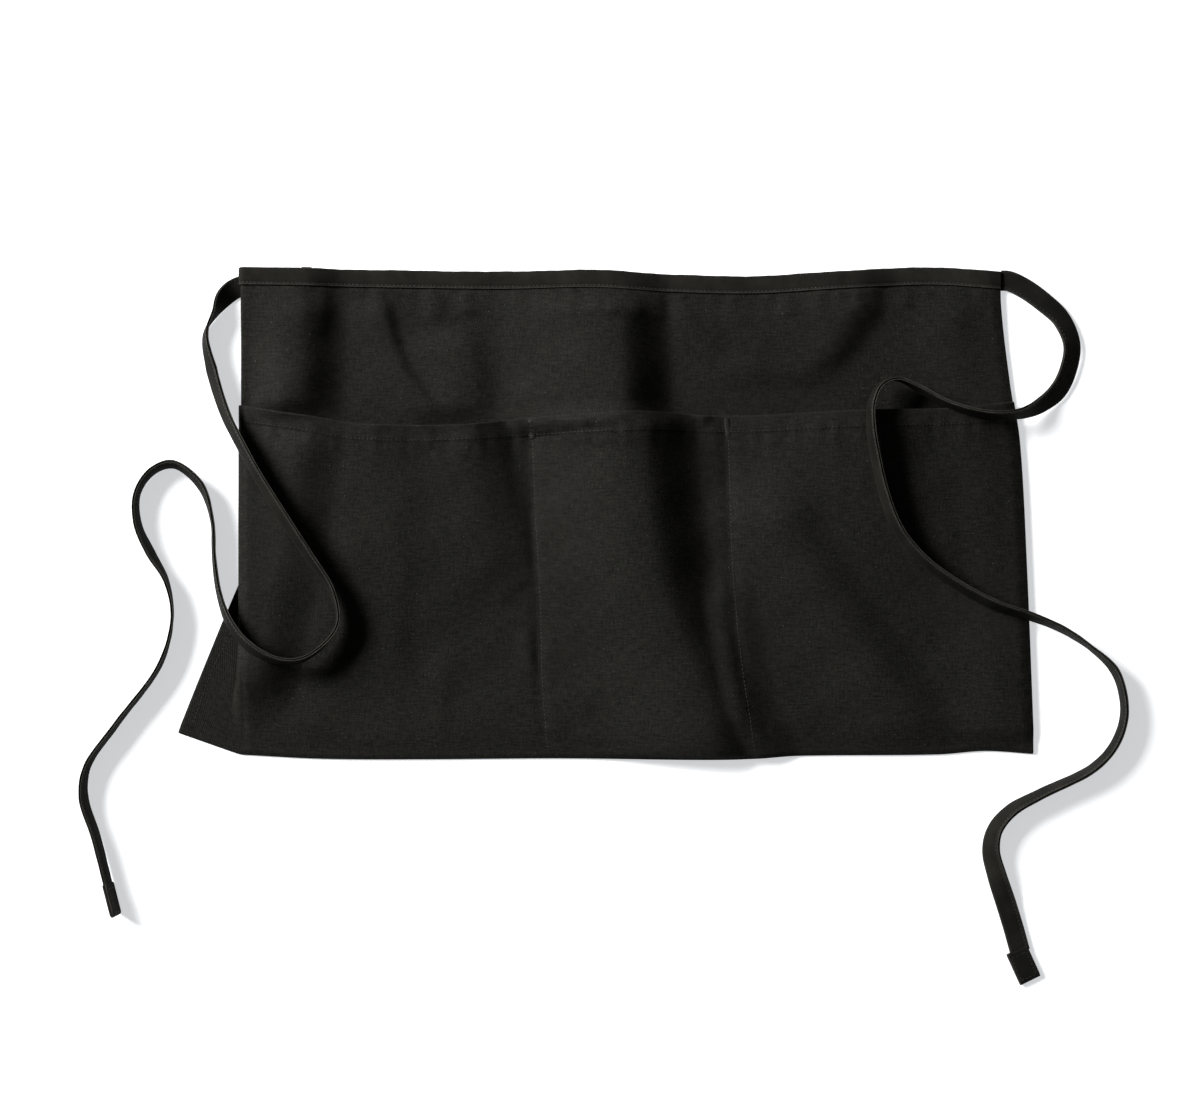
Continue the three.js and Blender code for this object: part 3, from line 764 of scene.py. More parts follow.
@dataclass
class Sheet:
    """A closed sheet round a grid of middle points, with a rounded rim.

    Attributes:
        middle: rows by columns by 3.
        front: how far the front face is from the middle, rows by columns.
        back: how far the back face is from the middle, rows by columns.
        flat: places on the flat cloth, rows by columns by 2.
        worn: how worn each point is, from 0 to 1.
    """

    middle: Array
    front: Array
    back: Array
    flat: Array
    worn: Array
    normals: Array = field(init=False)

    def __post_init__(self) -> None:
        """Works out the normals."""
        self.normals = grid_normals(self.middle)

    def surface(self, i: Array, j: Array, face: Face) -> tuple[Array, Array]:
        """Finds places on one face.

        Args:
            i: fractional rows.
            j: fractional columns.
            face: which face.

        Returns:
            The points there and their outward normals.
        """
        normals = unit(sample(self.normals, i, j))
        away = sample((self.front if face is Face.FRONT else self.back)[..., None], i, j)
        return sample(self.middle, i, j) + normals * away * face.value, normals * face.value

    def build(self, name: str) -> bpy.types.Object:
        """Makes the sheet's mesh object.

        Args:
            name: the object's name.

        Returns:
            The object.
        """
        rows, columns = self.middle.shape[:2]
        behind = rows * columns
        number = np.arange(behind).reshape(rows, columns)
        a, b = number[:-1, :-1].ravel(), number[1:, :-1].ravel()
        c, d = number[1:, 1:].ravel(), number[:-1, 1:].ravel()
        edge = np.concatenate([number[0, :-1], number[:-1, -1], number[-1, :0:-1], number[:0:-1, 0]])
        outward = np.zeros_like(self.middle)
        outward[0] += unit(self.middle[0] - self.middle[1])
        outward[-1] += unit(self.middle[-1] - self.middle[-2])
        outward[:, 0] += unit(self.middle[:, 0] - self.middle[:, 1])
        outward[:, -1] += unit(self.middle[:, -1] - self.middle[:, -2])
        half = (self.front + self.back)[..., None] / 2
        level = self.middle + self.normals * (self.front - self.back)[..., None] / 2
        rim_points = (level + unit(outward) * half * 0.8).reshape(-1, 3)[edge]
        points = np.concatenate([
            (self.middle + self.normals * self.front[..., None]).reshape(-1, 3),
            (self.middle - self.normals * self.back[..., None]).reshape(-1, 3),
            rim_points,
        ])
        rim = 2 * behind + np.arange(len(edge))
        after, rim_after = np.roll(edge, -1), np.roll(rim, -1)
        faces = np.concatenate([
            np.stack([a, b, c, d], 1),
            np.stack([a, d, c, b], 1) + behind,
            np.stack([edge, after, rim_after, rim], 1),
            np.stack([rim, rim_after, after + behind, edge + behind], 1),
        ])
        flat, worn = self.flat.reshape(-1, 2), self.worn.ravel()
        return make_object(name, points, faces.tolist(), np.concatenate([flat, flat, flat[edge]]),
                           np.concatenate([worn, worn, np.ones(len(edge))]))


def loft(name: str, rings: Array, flat: Array, worn: Array) -> bpy.types.Object:
    """A closed loft through rings of points, with flat ends.

    Args:
        name: the object's name.
        rings: rings by points by 3, all running the same way round.
        flat: rings by points by 2, places on the flat material.
        worn: rings by points, how worn each point is.

    Returns:
        The object.
    """
    count, sides = rings.shape[:2]
    number = np.arange(count * sides).reshape(count, sides)
    after = np.roll(number, -1, 1)
    faces = np.stack([number[:-1], after[:-1], after[1:], number[1:]], -1).reshape(-1, 4).tolist()
    faces += [number[0, ::-1].tolist(), number[-1].tolist()]
    return make_object(name, rings.reshape(-1, 3), faces, flat.reshape(-1, 2), worn.ravel())


# Thread

@dataclass(frozen=True)
class Thread:
    """A sewing thread: its radius, the length of a stitch and how far apart stitches begin."""

    radius: float = 0.2
    stitch: float = 2.0
    pitch: float = 2.55


class Stitching:
    """Gathers the stitches of one piece and makes them one mesh.

    RINGS holds a stitch's cross-sections: the share of its length, its swell and its rise in radii.
    """

    RINGS = ((-0.5, 0.45, -0.9), (-0.36, 0.9, -0.1), (0.0, 1.0, 0.35), (0.36, 0.9, -0.1), (0.5, 0.45, -0.9))
    SIDES = 6

    def __init__(self, name: str, seed: int) -> None:
        """Starts with no stitches.

        Args:
            name: the name of the stitches' object.
            seed: fixes how far single stitches stray from an even row.
        """
        self.name = name
        self.random = np.random.default_rng(seed)
        self.points: list[Array] = []
        self.faces: list[list[int]] = []
        self.count = 0

    def add(self, starts: Array, ends: Array, normals: Array, radius: float) -> None:
        """Adds straight stitches.

        Args:
            starts: where each begins, stitches by 3.
            ends: where each ends.
            normals: the unit normals of the cloth under each.
            radius: the thread's radius.
        """
        along = ends - starts
        side = unit(np.cross(normals, along))
        up = unit(np.cross(along, side))
        middle = (starts + ends) / 2
        turns = np.arange(self.SIDES) * 2 * math.pi / self.SIDES
        rings = []
        for share, swell, rise in self.RINGS:
            centre = middle + along * share + up * rise * radius
            rings.append(centre[:, None] + radius * swell * (
                side[:, None] * np.cos(turns)[None, :, None] + up[:, None] * np.sin(turns)[None, :, None]))
        block = np.stack(rings, 1)
        each = len(self.RINGS) * self.SIDES
        pattern = []
        for ring in range(len(self.RINGS) - 1):
            for k in range(self.SIDES):
                a, b = ring * self.SIDES + k, ring * self.SIDES + (k + 1) % self.SIDES
                pattern.append([a, a + self.SIDES, b + self.SIDES, b])
        caps = [list(range(self.SIDES)), list(range(each - 1, each - self.SIDES - 1, -1))]
        for k in range(len(starts)):
            base = self.count + k * each
            self.faces.extend([[base + p for p in face] for face in pattern + caps])
        self.points.append(block.reshape(-1, 3))
        self.count += len(starts) * each

    def run(self, line: Array, normals: Array, thread: Thread) -> None:
        """Adds a row of stitches along a line on the cloth.

        Args:
            line: points along the line.
            normals: the cloth's unit normals there.
            thread: the thread.
        """
        lengths = np.concatenate([[0], np.cumsum(np.linalg.norm(np.diff(line, axis=0), axis=1))])
        starts = np.arange(0.4, lengths[-1] - thread.stitch, thread.pitch)
        starts = starts + self.random.uniform(-0.12, 0.12, len(starts))

        def at(values: Array, place: Array) -> Array:
            """Values along the line."""
            return np.stack([np.interp(place, lengths, values[:, k]) for k in range(3)], 1)

        self.add(at(line, starts), at(line, starts + thread.stitch),
                 unit(at(normals, starts + thread.stitch / 2)), thread.radius)

    def bar_tack(self, start: Array, end: Array, across: Array, normal: Array, radius: float) -> None:
        """Adds a bar tack: close zigzag stitches over two long ones.

        Args:
            start: the middle of one short side.
            end: the middle of the other.
            across: from the middle line to one long side.
            normal: the cloth's unit normal.
            radius: the thread's radius.
        """
        turns = 19
        shares = np.linspace(0, 1, turns)
        sides = np.where(np.arange(turns) % 2, 1.0, -1.0)
        corners = start + (end - start) * shares[:, None] + across * sides[:, None] + normal * (radius + 0.35)
        flip = np.tile(normal, (turns - 1, 1))
        self.add(corners[:-1], corners[1:], flip, radius)
        for side in (-0.4, 0.4):
            line = np.stack([start + across * side, end + across * side]) + normal * 0.3
            self.add(line[:1], line[1:], normal[None], radius)

    def build(self) -> bpy.types.Object:
        """Makes the stitches' mesh object."""
        return make_object(self.name, np.concatenate(self.points), self.faces)


# Finishes

def linear(colour: str, share: float = 1.0) -> tuple[float, float, float, float]:
    """A colour written as six hexadecimal digits in linear light.

    Args:
        colour: the digits.
        share: scales the linear values.

    Returns:
        Red, green, blue and 1.
    """
    parts = [int(colour[k:k + 2], 16) / 255 for k in (0, 2, 4)]
    light = [p / 12.92 if p <= 0.04045 else ((p + 0.055) / 1.055) ** 2.4 for p in parts]
    return (light[0] * share, light[1] * share, light[2] * share, 1.0)


def add_node(tree: bpy.types.NodeTree, kind: str, inputs: dict | None = None, **settings: object
             ) -> bpy.types.Node:
    """Adds a shader node with its settings and links.

    Args:
        tree: the node tree.
        kind: the node's type.
        inputs: by socket name or number, a constant, an output, or a node whose first output is linked.
        settings: the node's own properties.

    Returns:
        The node.
    """
    node = tree.nodes.new(kind)
    for name, value in settings.items():
        setattr(node, name, value)
    for name, value in (inputs or {}).items():
        value = value.outputs[0] if isinstance(value, bpy.types.Node) else value
        if isinstance(value, bpy.types.NodeSocket):
            tree.links.new(value, node.inputs[name])
        else:
            node.inputs[name].default_value = value
    return node


@dataclass(frozen=True)
class Finish(ABC):
    """A material that is made once and shared."""

    name: str

    @abstractmethod
    def shade(self, tree: bpy.types.NodeTree, shader: bpy.types.Node) -> None:
        """Links the material's textures into its shader.

        Args:
            tree: the material's node tree.
            shader: its shader.
        """

    def make(self) -> bpy.types.Material:
        """Makes the material.

        Returns:
            The material, shaded.
        """
        material = bpy.data.materials.new(self.name)
        material.use_nodes = True
        tree = material.node_tree
        self.shade(tree, tree.nodes["Principled BSDF"])
        return material

    @staticmethod
    def ridges(tree: bpy.types.NodeTree, place: bpy.types.Node, pitch: float, heading: float
               ) -> bpy.types.Node:
        """Even ridges across the flat material.

        Args:
            tree: the node tree.
            place: the place on the flat material in metres.
            pitch: from one ridge to the next, in millimetres.
            heading: the way from ridge to ridge, in degrees from across.

        Returns:
            A node that gives -1 in the hollows and 1 on the ridges.
        """
        turns = 2 * math.pi / (pitch * MM)
        way = (turns * math.cos(math.radians(heading)), turns * math.sin(math.radians(heading)), 0)
        dot = add_node(tree, "ShaderNodeVectorMath", {0: place, 1: way}, operation="DOT_PRODUCT")
        return add_node(tree, "ShaderNodeMath", {0: dot.outputs["Value"]}, operation="SINE")

    @staticmethod
    def patches(tree: bpy.types.NodeTree, place: bpy.types.Node | bpy.types.NodeSocket, size: float,
                low: float, high: float, detail: float = 2.0) -> bpy.types.Node:
        """Soft patches over the flat material.

        Args:
            tree: the node tree.
            place: the place on the flat material in metres.
            size: how large they are, in millimetres.
            low: the value in the low patches.
            high: the value in the high patches.
            detail: how many finer layers they have.

        Returns:
            A node that gives the value.
        """
        noise = add_node(tree, "ShaderNodeTexNoise",
                         {"Vector": place, "Scale": 1 / (size * MM), "Detail": detail})
        return add_node(tree, "ShaderNodeMapRange",
                        {"Value": noise, "From Min": 0.3, "From Max": 0.7, "To Min": low, "To Max": high})


@dataclass(frozen=True)
class BlackTwill(Finish):
    """Dyed cotton and polyester twill: a matt near-black with slanting ridges, lint and worn edges.

    The ridges are drawn 1.3 mm apart, about three times coarser than real twill, which would be lost
    between the pixels.
    """

    name: str = "black cotton-polyester twill, woven and dyed"
    ridge_pitch: float = 1.3
    dark: str = "0f0f0d"
    light: str = "22211e"
    worn: str = "232321"
    lint: str = "6c6b66"
    lint_size: float = 1.1
    sheen: str = "9a9894"

    def shade(self, tree: bpy.types.NodeTree, shader: bpy.types.Node) -> None:
        """Links the twill's ridges, patches, lint and wear into its shader.

        Args:
            tree: the material's node tree.
            shader: its shader.
        """
        place = add_node(tree, "ShaderNodeUVMap", uv_map="flat")
        # Weave: the slanting ridges, crossed by the picks between them
        ridges = self.ridges(tree, place, self.ridge_pitch, 32)
        picks = self.ridges(tree, place, self.ridge_pitch * 0.8, -58)
        weave = add_node(tree, "ShaderNodeMath", {0: picks, 1: 0.45, 2: ridges}, operation="MULTIPLY_ADD")
        # Slubs: thicker stretches of yarn, long across in the weft and long down in the warp
        weft_way = add_node(tree, "ShaderNodeVectorMath", {0: place, 1: (0.16, 1, 1)}, operation="MULTIPLY")
        warp_way = add_node(tree, "ShaderNodeVectorMath", {0: place, 1: (1, 0.22, 1)}, operation="MULTIPLY")
        weft = self.patches(tree, weft_way, 1.1, -0.32, 0.32)
        warp = self.patches(tree, warp_way, 1.2, -0.25, 0.25)
        slubs = add_node(tree, "ShaderNodeMath", {0: weft, 1: warp}, operation="ADD")
        height = add_node(tree, "ShaderNodeMath", {0: slubs, 1: 1.5, 2: weave}, operation="MULTIPLY_ADD")
        # Tone: broad patches of dye with grain, slubs and a little of the weave
        dye = self.patches(tree, place, 55, 0.43, 0.53)
        grain = self.patches(tree, place, 1.3, -0.22, 0.22, 1)
        grained = add_node(tree, "ShaderNodeMath", {0: dye, 1: grain}, operation="ADD")
        slubbed = add_node(tree, "ShaderNodeMath", {0: grained, 1: slubs}, operation="ADD")
        tone = add_node(tree, "ShaderNodeMath", {0: weave, 1: 0.08, 2: slubbed}, operation="MULTIPLY_ADD")
        colour = add_node(tree, "ShaderNodeMix", {0: tone, 6: linear(self.dark), 7: linear(self.light)},
                          data_type="RGBA")
        # Wear: edges rubbed paler, in patches
        wear = add_node(tree, "ShaderNodeAttribute", attribute_name="worn").outputs["Fac"]
        rubbing = self.patches(tree, place, 7, 0.1, 0.75, 3)
        rubbed = add_node(tree, "ShaderNodeMath", {0: wear, 1: rubbing}, operation="MULTIPLY")
        edged = add_node(tree, "ShaderNodeMix", {0: rubbed, 6: colour.outputs[2], 7: linear(self.worn)},
                         data_type="RGBA")
        # Lint: sparse pale specks
        specks = add_node(tree, "ShaderNodeTexNoise",
                          {"Vector": place, "Scale": 1 / (self.lint_size * MM), "Detail": 1.0})
        lint = add_node(tree, "ShaderNodeMapRange",
                        {"Value": specks, "From Min": 0.74, "From Max": 0.8, "To Max": 0.5})
        dusted = add_node(tree, "ShaderNodeMix", {0: lint, 6: edged.outputs[2], 7: linear(self.lint)},
                          data_type="RGBA")
        bump = add_node(tree, "ShaderNodeBump", {"Height": height, "Strength": 0.5, "Distance": 0.12 * MM})
        roughness = self.patches(tree, place, 30, 0.6, 0.74)
        tree.links.new(dusted.outputs[2], shader.inputs["Base Color"])
        tree.links.new(bump.outputs[0], shader.inputs["Normal"])
        tree.links.new(roughness.outputs[0], shader.inputs["Roughness"])
        shader.inputs["Specular IOR Level"].default_value = 0.06
        shader.inputs["Sheen Weight"].default_value = 0.02
        shader.inputs["Sheen Roughness"].default_value = 0.45
        shader.inputs["Sheen Tint"].default_value = linear(self.sheen)


@dataclass(frozen=True)
class WovenTape(Finish):
    """Folded twill tape, woven narrow and dyed black: finer ribs across it and a slightly smoother face."""

    name: str = "black woven binding tape"
    rib_pitch: float = 1.0
    dark: str = "11110f"
    light: str = "252421"
    # Paler colour of the tape's edges: rubbed wear and a painted highlight of the edges catching the light
    worn: str = "4d4b46"
    sheen: str = "a09e9a"

    def shade(self, tree: bpy.types.NodeTree, shader: bpy.types.Node) -> None:
        """Links the tape's ribs, patches and paler edges into its shader, the edges rubbed and with a painted
        highlight.

        Args:
            tree: the material's node tree.
            shader: its shader.
        """
        place = add_node(tree, "ShaderNodeUVMap", uv_map="flat")
        ribs = self.ridges(tree, place, self.rib_pitch, 25)
        ends = self.ridges(tree, place, self.rib_pitch * 0.9, 90)
        weave = add_node(tree, "ShaderNodeMath", {0: ends, 1: 0.5, 2: ribs}, operation="MULTIPLY_ADD")
        dye = self.patches(tree, place, 24, 0.0, 0.6, 3)
        tone = add_node(tree, "ShaderNodeMath", {0: weave, 1: 0.15, 2: dye}, operation="MULTIPLY_ADD")
        colour = add_node(tree, "ShaderNodeMix", {0: tone, 6: linear(self.dark), 7: linear(self.light)},
                          data_type="RGBA")
        # Both edges paler: rubbed wear, and a painted highlight where the edges catch the light, which draws
        # the thin light lines along the ties
        wear = add_node(tree, "ShaderNodeAttribute", attribute_name="worn").outputs["Fac"]
        rubbing = self.patches(tree, place, 5, 0.35, 0.9, 3)
        rubbed = add_node(tree, "ShaderNodeMath", {0: wear, 1: rubbing}, operation="MULTIPLY")
        edged = add_node(tree, "ShaderNodeMix", {0: rubbed, 6: colour.outputs[2], 7: linear(self.worn)},
                         data_type="RGBA")
        bump = add_node(tree, "ShaderNodeBump", {"Height": weave, "Strength": 0.5, "Distance": 0.1 * MM})
        roughness = self.patches(tree, place, 20, 0.55, 0.7)
        tree.links.new(edged.outputs[2], shader.inputs["Base Color"])
        tree.links.new(bump.outputs[0], shader.inputs["Normal"])
        tree.links.new(roughness.outputs[0], shader.inputs["Roughness"])
        shader.inputs["Specular IOR Level"].default_value = 0.02
        shader.inputs["Sheen Weight"].default_value = 0.02
        shader.inputs["Sheen Roughness"].default_value = 0.4
        shader.inputs["Sheen Tint"].default_value = linear(self.sheen)


@dataclass(frozen=True)
class SpunThread(Finish):
    """Spun polyester sewing thread: a little lighter and glossier than the cloth, so that stitches show."""

    name: str = "black spun polyester thread"
    colour: str = "282826"

    def shade(self, tree: bpy.types.NodeTree, shader: bpy.types.Node) -> None:
        """Sets the thread's colour, with a slight change along it.

        Args:
            tree: the material's node tree.
            shader: its shader.
        """
        place = add_node(tree, "ShaderNodeTexCoord").outputs["Object"]
        share = self.patches(tree, place, 9, 0.6, 1.3)
        tint = add_node(tree, "ShaderNodeVectorMath", {0: linear(self.colour)[:3], "Scale": share},
                        operation="SCALE")
        tree.links.new(tint.outputs[0], shader.inputs["Base Color"])
        shader.inputs["Roughness"].default_value = 0.45
        shader.inputs["Specular IOR Level"].default_value = 0.3


@dataclass(frozen=True)
class PaleFloor(Finish):
    """Frosted white acrylic lit faintly from below: it washes out to white and keeps its shadows pale."""

    name: str = "frosted white acrylic floor, lit from below"
    colour: str = "efefef"
    glow_colour: str = "f6f8fb"
    glow: float = 0.6

    def shade(self, tree: bpy.types.NodeTree, shader: bpy.types.Node) -> None:
        """Sets the floor's colour and glow.

        Args:
            tree: the material's node tree.
            shader: its shader.
        """
        shader.inputs["Base Color"].default_value = linear(self.colour)
        shader.inputs["Emission Color"].default_value = linear(self.glow_colour)
        shader.inputs["Emission Strength"].default_value = self.glow
        shader.inputs["Roughness"].default_value = 0.9
        shader.inputs["Specular IOR Level"].default_value = 0.1


@dataclass
class Finishes:
    """The materials of the scene."""

    twill: bpy.types.Material = field(default_factory=lambda: BlackTwill().make())
    tape: bpy.types.Material = field(default_factory=lambda: WovenTape().make())
    thread: bpy.types.Material = field(default_factory=lambda: SpunThread().make())
    floor: bpy.types.Material = field(default_factory=lambda: PaleFloor().make())


# The sub-assemblies

@dataclass
class SubAssembly(ABC):
    """A part of the apron that is built and then dressed."""

    cloth: LaidCloth
    parts: list[bpy.types.Object] = field(default_factory=list, init=False)

    @abstractmethod
    def build(self) -> None:
        """Makes the pieces' shapes."""

    @abstractmethod
    def dress(self, finishes: Finishes) -> None:
        """Gives the pieces their materials.

        Args:
            finishes: the materials.
        """

    def _finish(self, part: bpy.types.Object, material: bpy.types.Material, slot: str) -> None:
        """Gives one piece its material."""
        part.data.materials.append(material)


@dataclass
class Panel(SubAssembly):
    """One layer of cloth with its hems and stitches."""

    layer: Layer = Layer.BODY
    node: str = "body_panel"
    hem_depth: float = 10.5
    side_hem: float = 7.8
    strip_hem: float = 7.5
    wall: float = 0.9
    sheet: Sheet = field(init=False)
    stitching: Stitching = field(init=False)
    thread: Thread = Thread()
    hem_thread: Thread = Thread(radius=0.15)

    def _sides(self, flat: Array) -> tuple[Array, Array]:
        """How far each point is from both side hems.

        Args:
            flat: places on the flat cloth, rows by columns by 2.

        Returns:
            The distances over the cloth from the right hem and from the strip's hem.
        """
        right = flat[:, -1:, 0] - flat[..., 0]
        left = flat[..., 0] - flat[:, :1, 0]
        return right, left

    def _seam(self, places: Array, across: Array, face: Face = Face.FRONT,
              thread: Thread | None = None) -> None:
        """Sews a row of stitches.

        Args:
            places: the rows' places along it, point by point.
            across: the shares across, point by point.
            face: the face that it is sewn on.
            thread: its thread, or the panel's own.
        """
        rows, columns = self.cloth.row(places, self.layer), self.cloth.column(across)
        line, normals = self.sheet.surface(rows, columns, face)
        self.stitching.run(line, normals, thread or self.thread)

    def _side_seams(self, first: float, last: float, face: Face) -> None:
        """Sews the right hem and the strip's hem.

        Args:
            first: the place of the upper end.
            last: the place of the lower end.
            face: the face that they are sewn on.
        """
        width = self.cloth.sizes.laid_width
        self._seam(np.linspace(first, last, 160), np.full(160, 1 - (self.side_hem - 1) / width), face)
        self._strip_seam(first, last, face)

    def _strip_seam(self, first: float, last: float, face: Face) -> None:
        """Sews the strip's hem.

        Args:
            first: the place of the upper end.
            last: the place of the lower end.
            face: the face that it is sewn on.
        """
        places = np.linspace(first, last, 160)
        rows = self.cloth.row(places, self.layer)
        strip = self.cloth.flat[:, :self.cloth.strip_columns, 0]
        nearest = self.cloth.row(places, Layer.BODY).astype(int)
        seam = strip[0, 0] + self.strip_hem - 1
        columns = [np.interp(seam, line, np.arange(len(line))) for line in strip[nearest]]
        line, normals = self.sheet.surface(rows, np.array(columns), face)
        self.stitching.run(line, normals, self.hem_thread)

    def dress(self, finishes: Finishes) -> None:
        """Gives the cloth its twill and the stitches their thread.

        Args:
            finishes: the materials.
        """
        panel, stitches = self.parts
        self._finish(panel, finishes.twill, "black_twill")
        self._finish(stitches, finishes.thread, "black_twill")


@dataclass
class BodyPanel(Panel):
    """The body cloth, from inside the waistband to the bottom edge."""

    def build(self) -> None:
        """Makes the body cloth with its side hems."""
        cloth, half = self.cloth, self.wall / 2
        right, left = self._sides(cloth.flat)
        main = np.arange(cloth.body.shape[1]) >= cloth.strip_columns
        above = (cloth.places < 1)[:, None]
        side = 0.2 * ease((self.side_hem - right) / 2) * above
        strip = 0.3 * ease((self.strip_hem - left) / 1.2) * ~main * above
        front = half + (side + strip) * 0.8
        worn = np.clip(0.35 * np.exp(-right / 1.5) + 0.35 * np.exp(-left / 1.5), 0, 1)
        self.sheet = Sheet(cloth.body, front, np.full_like(front, half), cloth.flat, worn)
        panel = self.sheet.build("body_panel_cloth")
        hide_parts(self.node)
        self.stitching = Stitching("body_panel_stitches", 11)
        self._side_seams(0.04, 1.97, Face.BACK)
        for number in (1, 2):
            places = np.linspace(1.01, 1.99, 200)
            self._seam(places, cloth.divider_line(number, places), Face.BACK)
        self.parts = [panel, self.stitching.build()]


@dataclass
class PocketPanel(Panel):
    """The pocket cloth with its hemmed mouth, the two dividers and the lip round the bottom edge."""

    def build(self) -> None:
        """Makes the pocket cloth with its hems, seams and bar tacks."""
        cloth, half = self.cloth, self.wall / 2
        flat = cloth.flat[cloth.pocket_start:]
        lip = np.repeat(flat[-1:], LIP_ROWS, 0)
        lip[..., 1] -= (np.arange(1, LIP_ROWS + 1) * 2.2 / LIP_ROWS)[:, None]
        flat = np.concatenate([flat, lip])
        right, left = self._sides(flat)
        main = ease((np.arange(flat.shape[1]) - cloth.strip_columns) / 3)
        under = (cloth.places[cloth.pocket_start:] - 1) * cloth.sizes.pocket_height
        under = np.concatenate([under, np.full(LIP_ROWS, under[-1])])[:, None]
        mouth = 0.4 * ease((self.hem_depth + 0.4 - under) / 0.9) * mix(0.25, 1, main)
        side = 0.2 * ease((self.side_hem - right) / 2)
        strip = 0.15 * ease((self.strip_hem - left) / 2)
        fading = ease((under[-1] - under) / 3)
        front = half + np.maximum(mouth, np.maximum(side, strip)) * fading
        worn = 0.7 * np.exp(-under / 1.2) + 0.45 * np.exp(-right / 1.5) + 0.4 * np.exp(-left / 1.5)
        worn = worn + 0.35 * np.exp(-((under[-1] - under) / 1.5))
        self.sheet = Sheet(cloth.pocket, front, np.full_like(front, half), flat, np.clip(worn, 0, 1))
        panel = self.sheet.build("pocket_panel_cloth")
        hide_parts(self.node)
        self.stitching = Stitching("pocket_panel_stitches", 12)
        across = np.linspace(0.004, 0.996, 600)
        self._seam(np.full(600, 1 + (self.hem_depth - 0.9) / cloth.sizes.pocket_height), across,
                   thread=self.hem_thread)
        self._strip_seam(1.01, 1.97, Face.FRONT)
        for number in (1, 2):
            self._divider(number)
        self.parts = [panel, self.stitching.build()]

    def _divider(self, number: int) -> None:
        """Sews one divider, with a bar tack at its top over the mouth's hem.

        Args:
            number: 1 for the left divider and 2 for the right one.
        """
        cloth = self.cloth
        places = np.linspace(1.006, 1.992, 300)
        across = cloth.divider_line(number, places)
        self._seam(places, across)
        rows = cloth.row(1 + np.array([0.9, 12.0]) / cloth.sizes.pocket_height, self.layer)
        line, normals = self.sheet.surface(rows, cloth.column(across[:2]), Face.FRONT)
        normal = unit(normals.mean(0))
        over = unit(np.cross(normal, line[1] - line[0])) * 1.8
        self.stitching.bar_tack(line[0], line[1], over, normal, self.thread.radius * 0.9)


@dataclass
class Waistband(SubAssembly):
    """Tape folded over the cloth's top edge and sewn down."""

    stitch_rise: float = 1.5
    thread: Thread = Thread()

    def build(self) -> None:
        """Makes the folded tape, an upside-down channel over the top edge, and its row of stitches."""
        s, cloth = self.cloth.sizes, self.cloth
        middle = cloth.body[0]
        normals = grid_normals(cloth.body)[0]
        inner = s.cloth_wall / 2 + s.band_clearance * 0.6
        lower, top, half = s.band_cover - s.band_height, s.band_cover, s.band_half
        # Rows of up and out: from the front's lower edge over the top to the back's, then round the inside
        section = [
            (lower, half - 0.1), (lower + 0.5, half), (lower + 1.1, half - 0.05), (lower + 1.5, half - 0.2),
            (lower + 2.1, half), (lower + 4, half + 0.12), (lower + 7, half + 0.1), (top - 1, half),
        ]
        section += [(top - 1 + math.sin(t), half * math.cos(t)) for t in np.linspace(0, math.pi, 7)[1:-1]]
        section += [(up, -out) for up, out in section[7::-1]]
        section += [(lower, -inner), (s.band_clearance, -inner), (s.band_clearance, inner), (lower, inner)]
        across = np.concatenate([np.zeros(cloth.strip_columns), cloth.across])
        wave = ripple(middle[:, 0], middle[:, 1], BAND_WAVES)
        fade = ease(across * 12) * ease((1 - across) * 20)
        rings = []
        for up, out in section:
            plump = 1 + wave * fade * (abs(out) > inner) * (0.25 if up > lower + 2.2 else 0.1)
            sway = wave * fade * 0.8 * (up > 0)
            rings.append(middle + normals * (out * plump)[:, None] + np.stack(
                [np.zeros_like(sway), up + sway, np.zeros_like(sway)], 1))
        rings = np.stack(rings, 1)[::-1]
        along = cloth.flat[0, ::-1, 0]
        girth = np.concatenate([[0], np.cumsum([math.dist(a, b) for a, b in zip(section, section[1:])])])
        flat = np.stack(np.meshgrid(along, girth, indexing="ij"), -1)
        edge = np.array([0.6 if up < lower + 0.7 or up > top - 0.5 else 0.1 for up, _ in section])
        worn = np.tile(edge, (len(rings), 1))
        band = loft("waistband_tape", rings, flat, worn)
        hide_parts("waistband")
        stitching = Stitching("waistband_stitches", 21)
        for face in Face:
            out = (half - 0.2) * face.value
            line = middle + normals * out + (0, lower + self.stitch_rise, 0)
            stitching.run(line, normals * face.value, self.thread)
        self.parts = [band, stitching.build()]

    def dress(self, finishes: Finishes) -> None:
        """Gives the band its tape and the stitches their thread."""
        self._finish(self.parts[0], finishes.tape, "black_tape")
        self._finish(self.parts[1], finishes.thread, "black_tape")


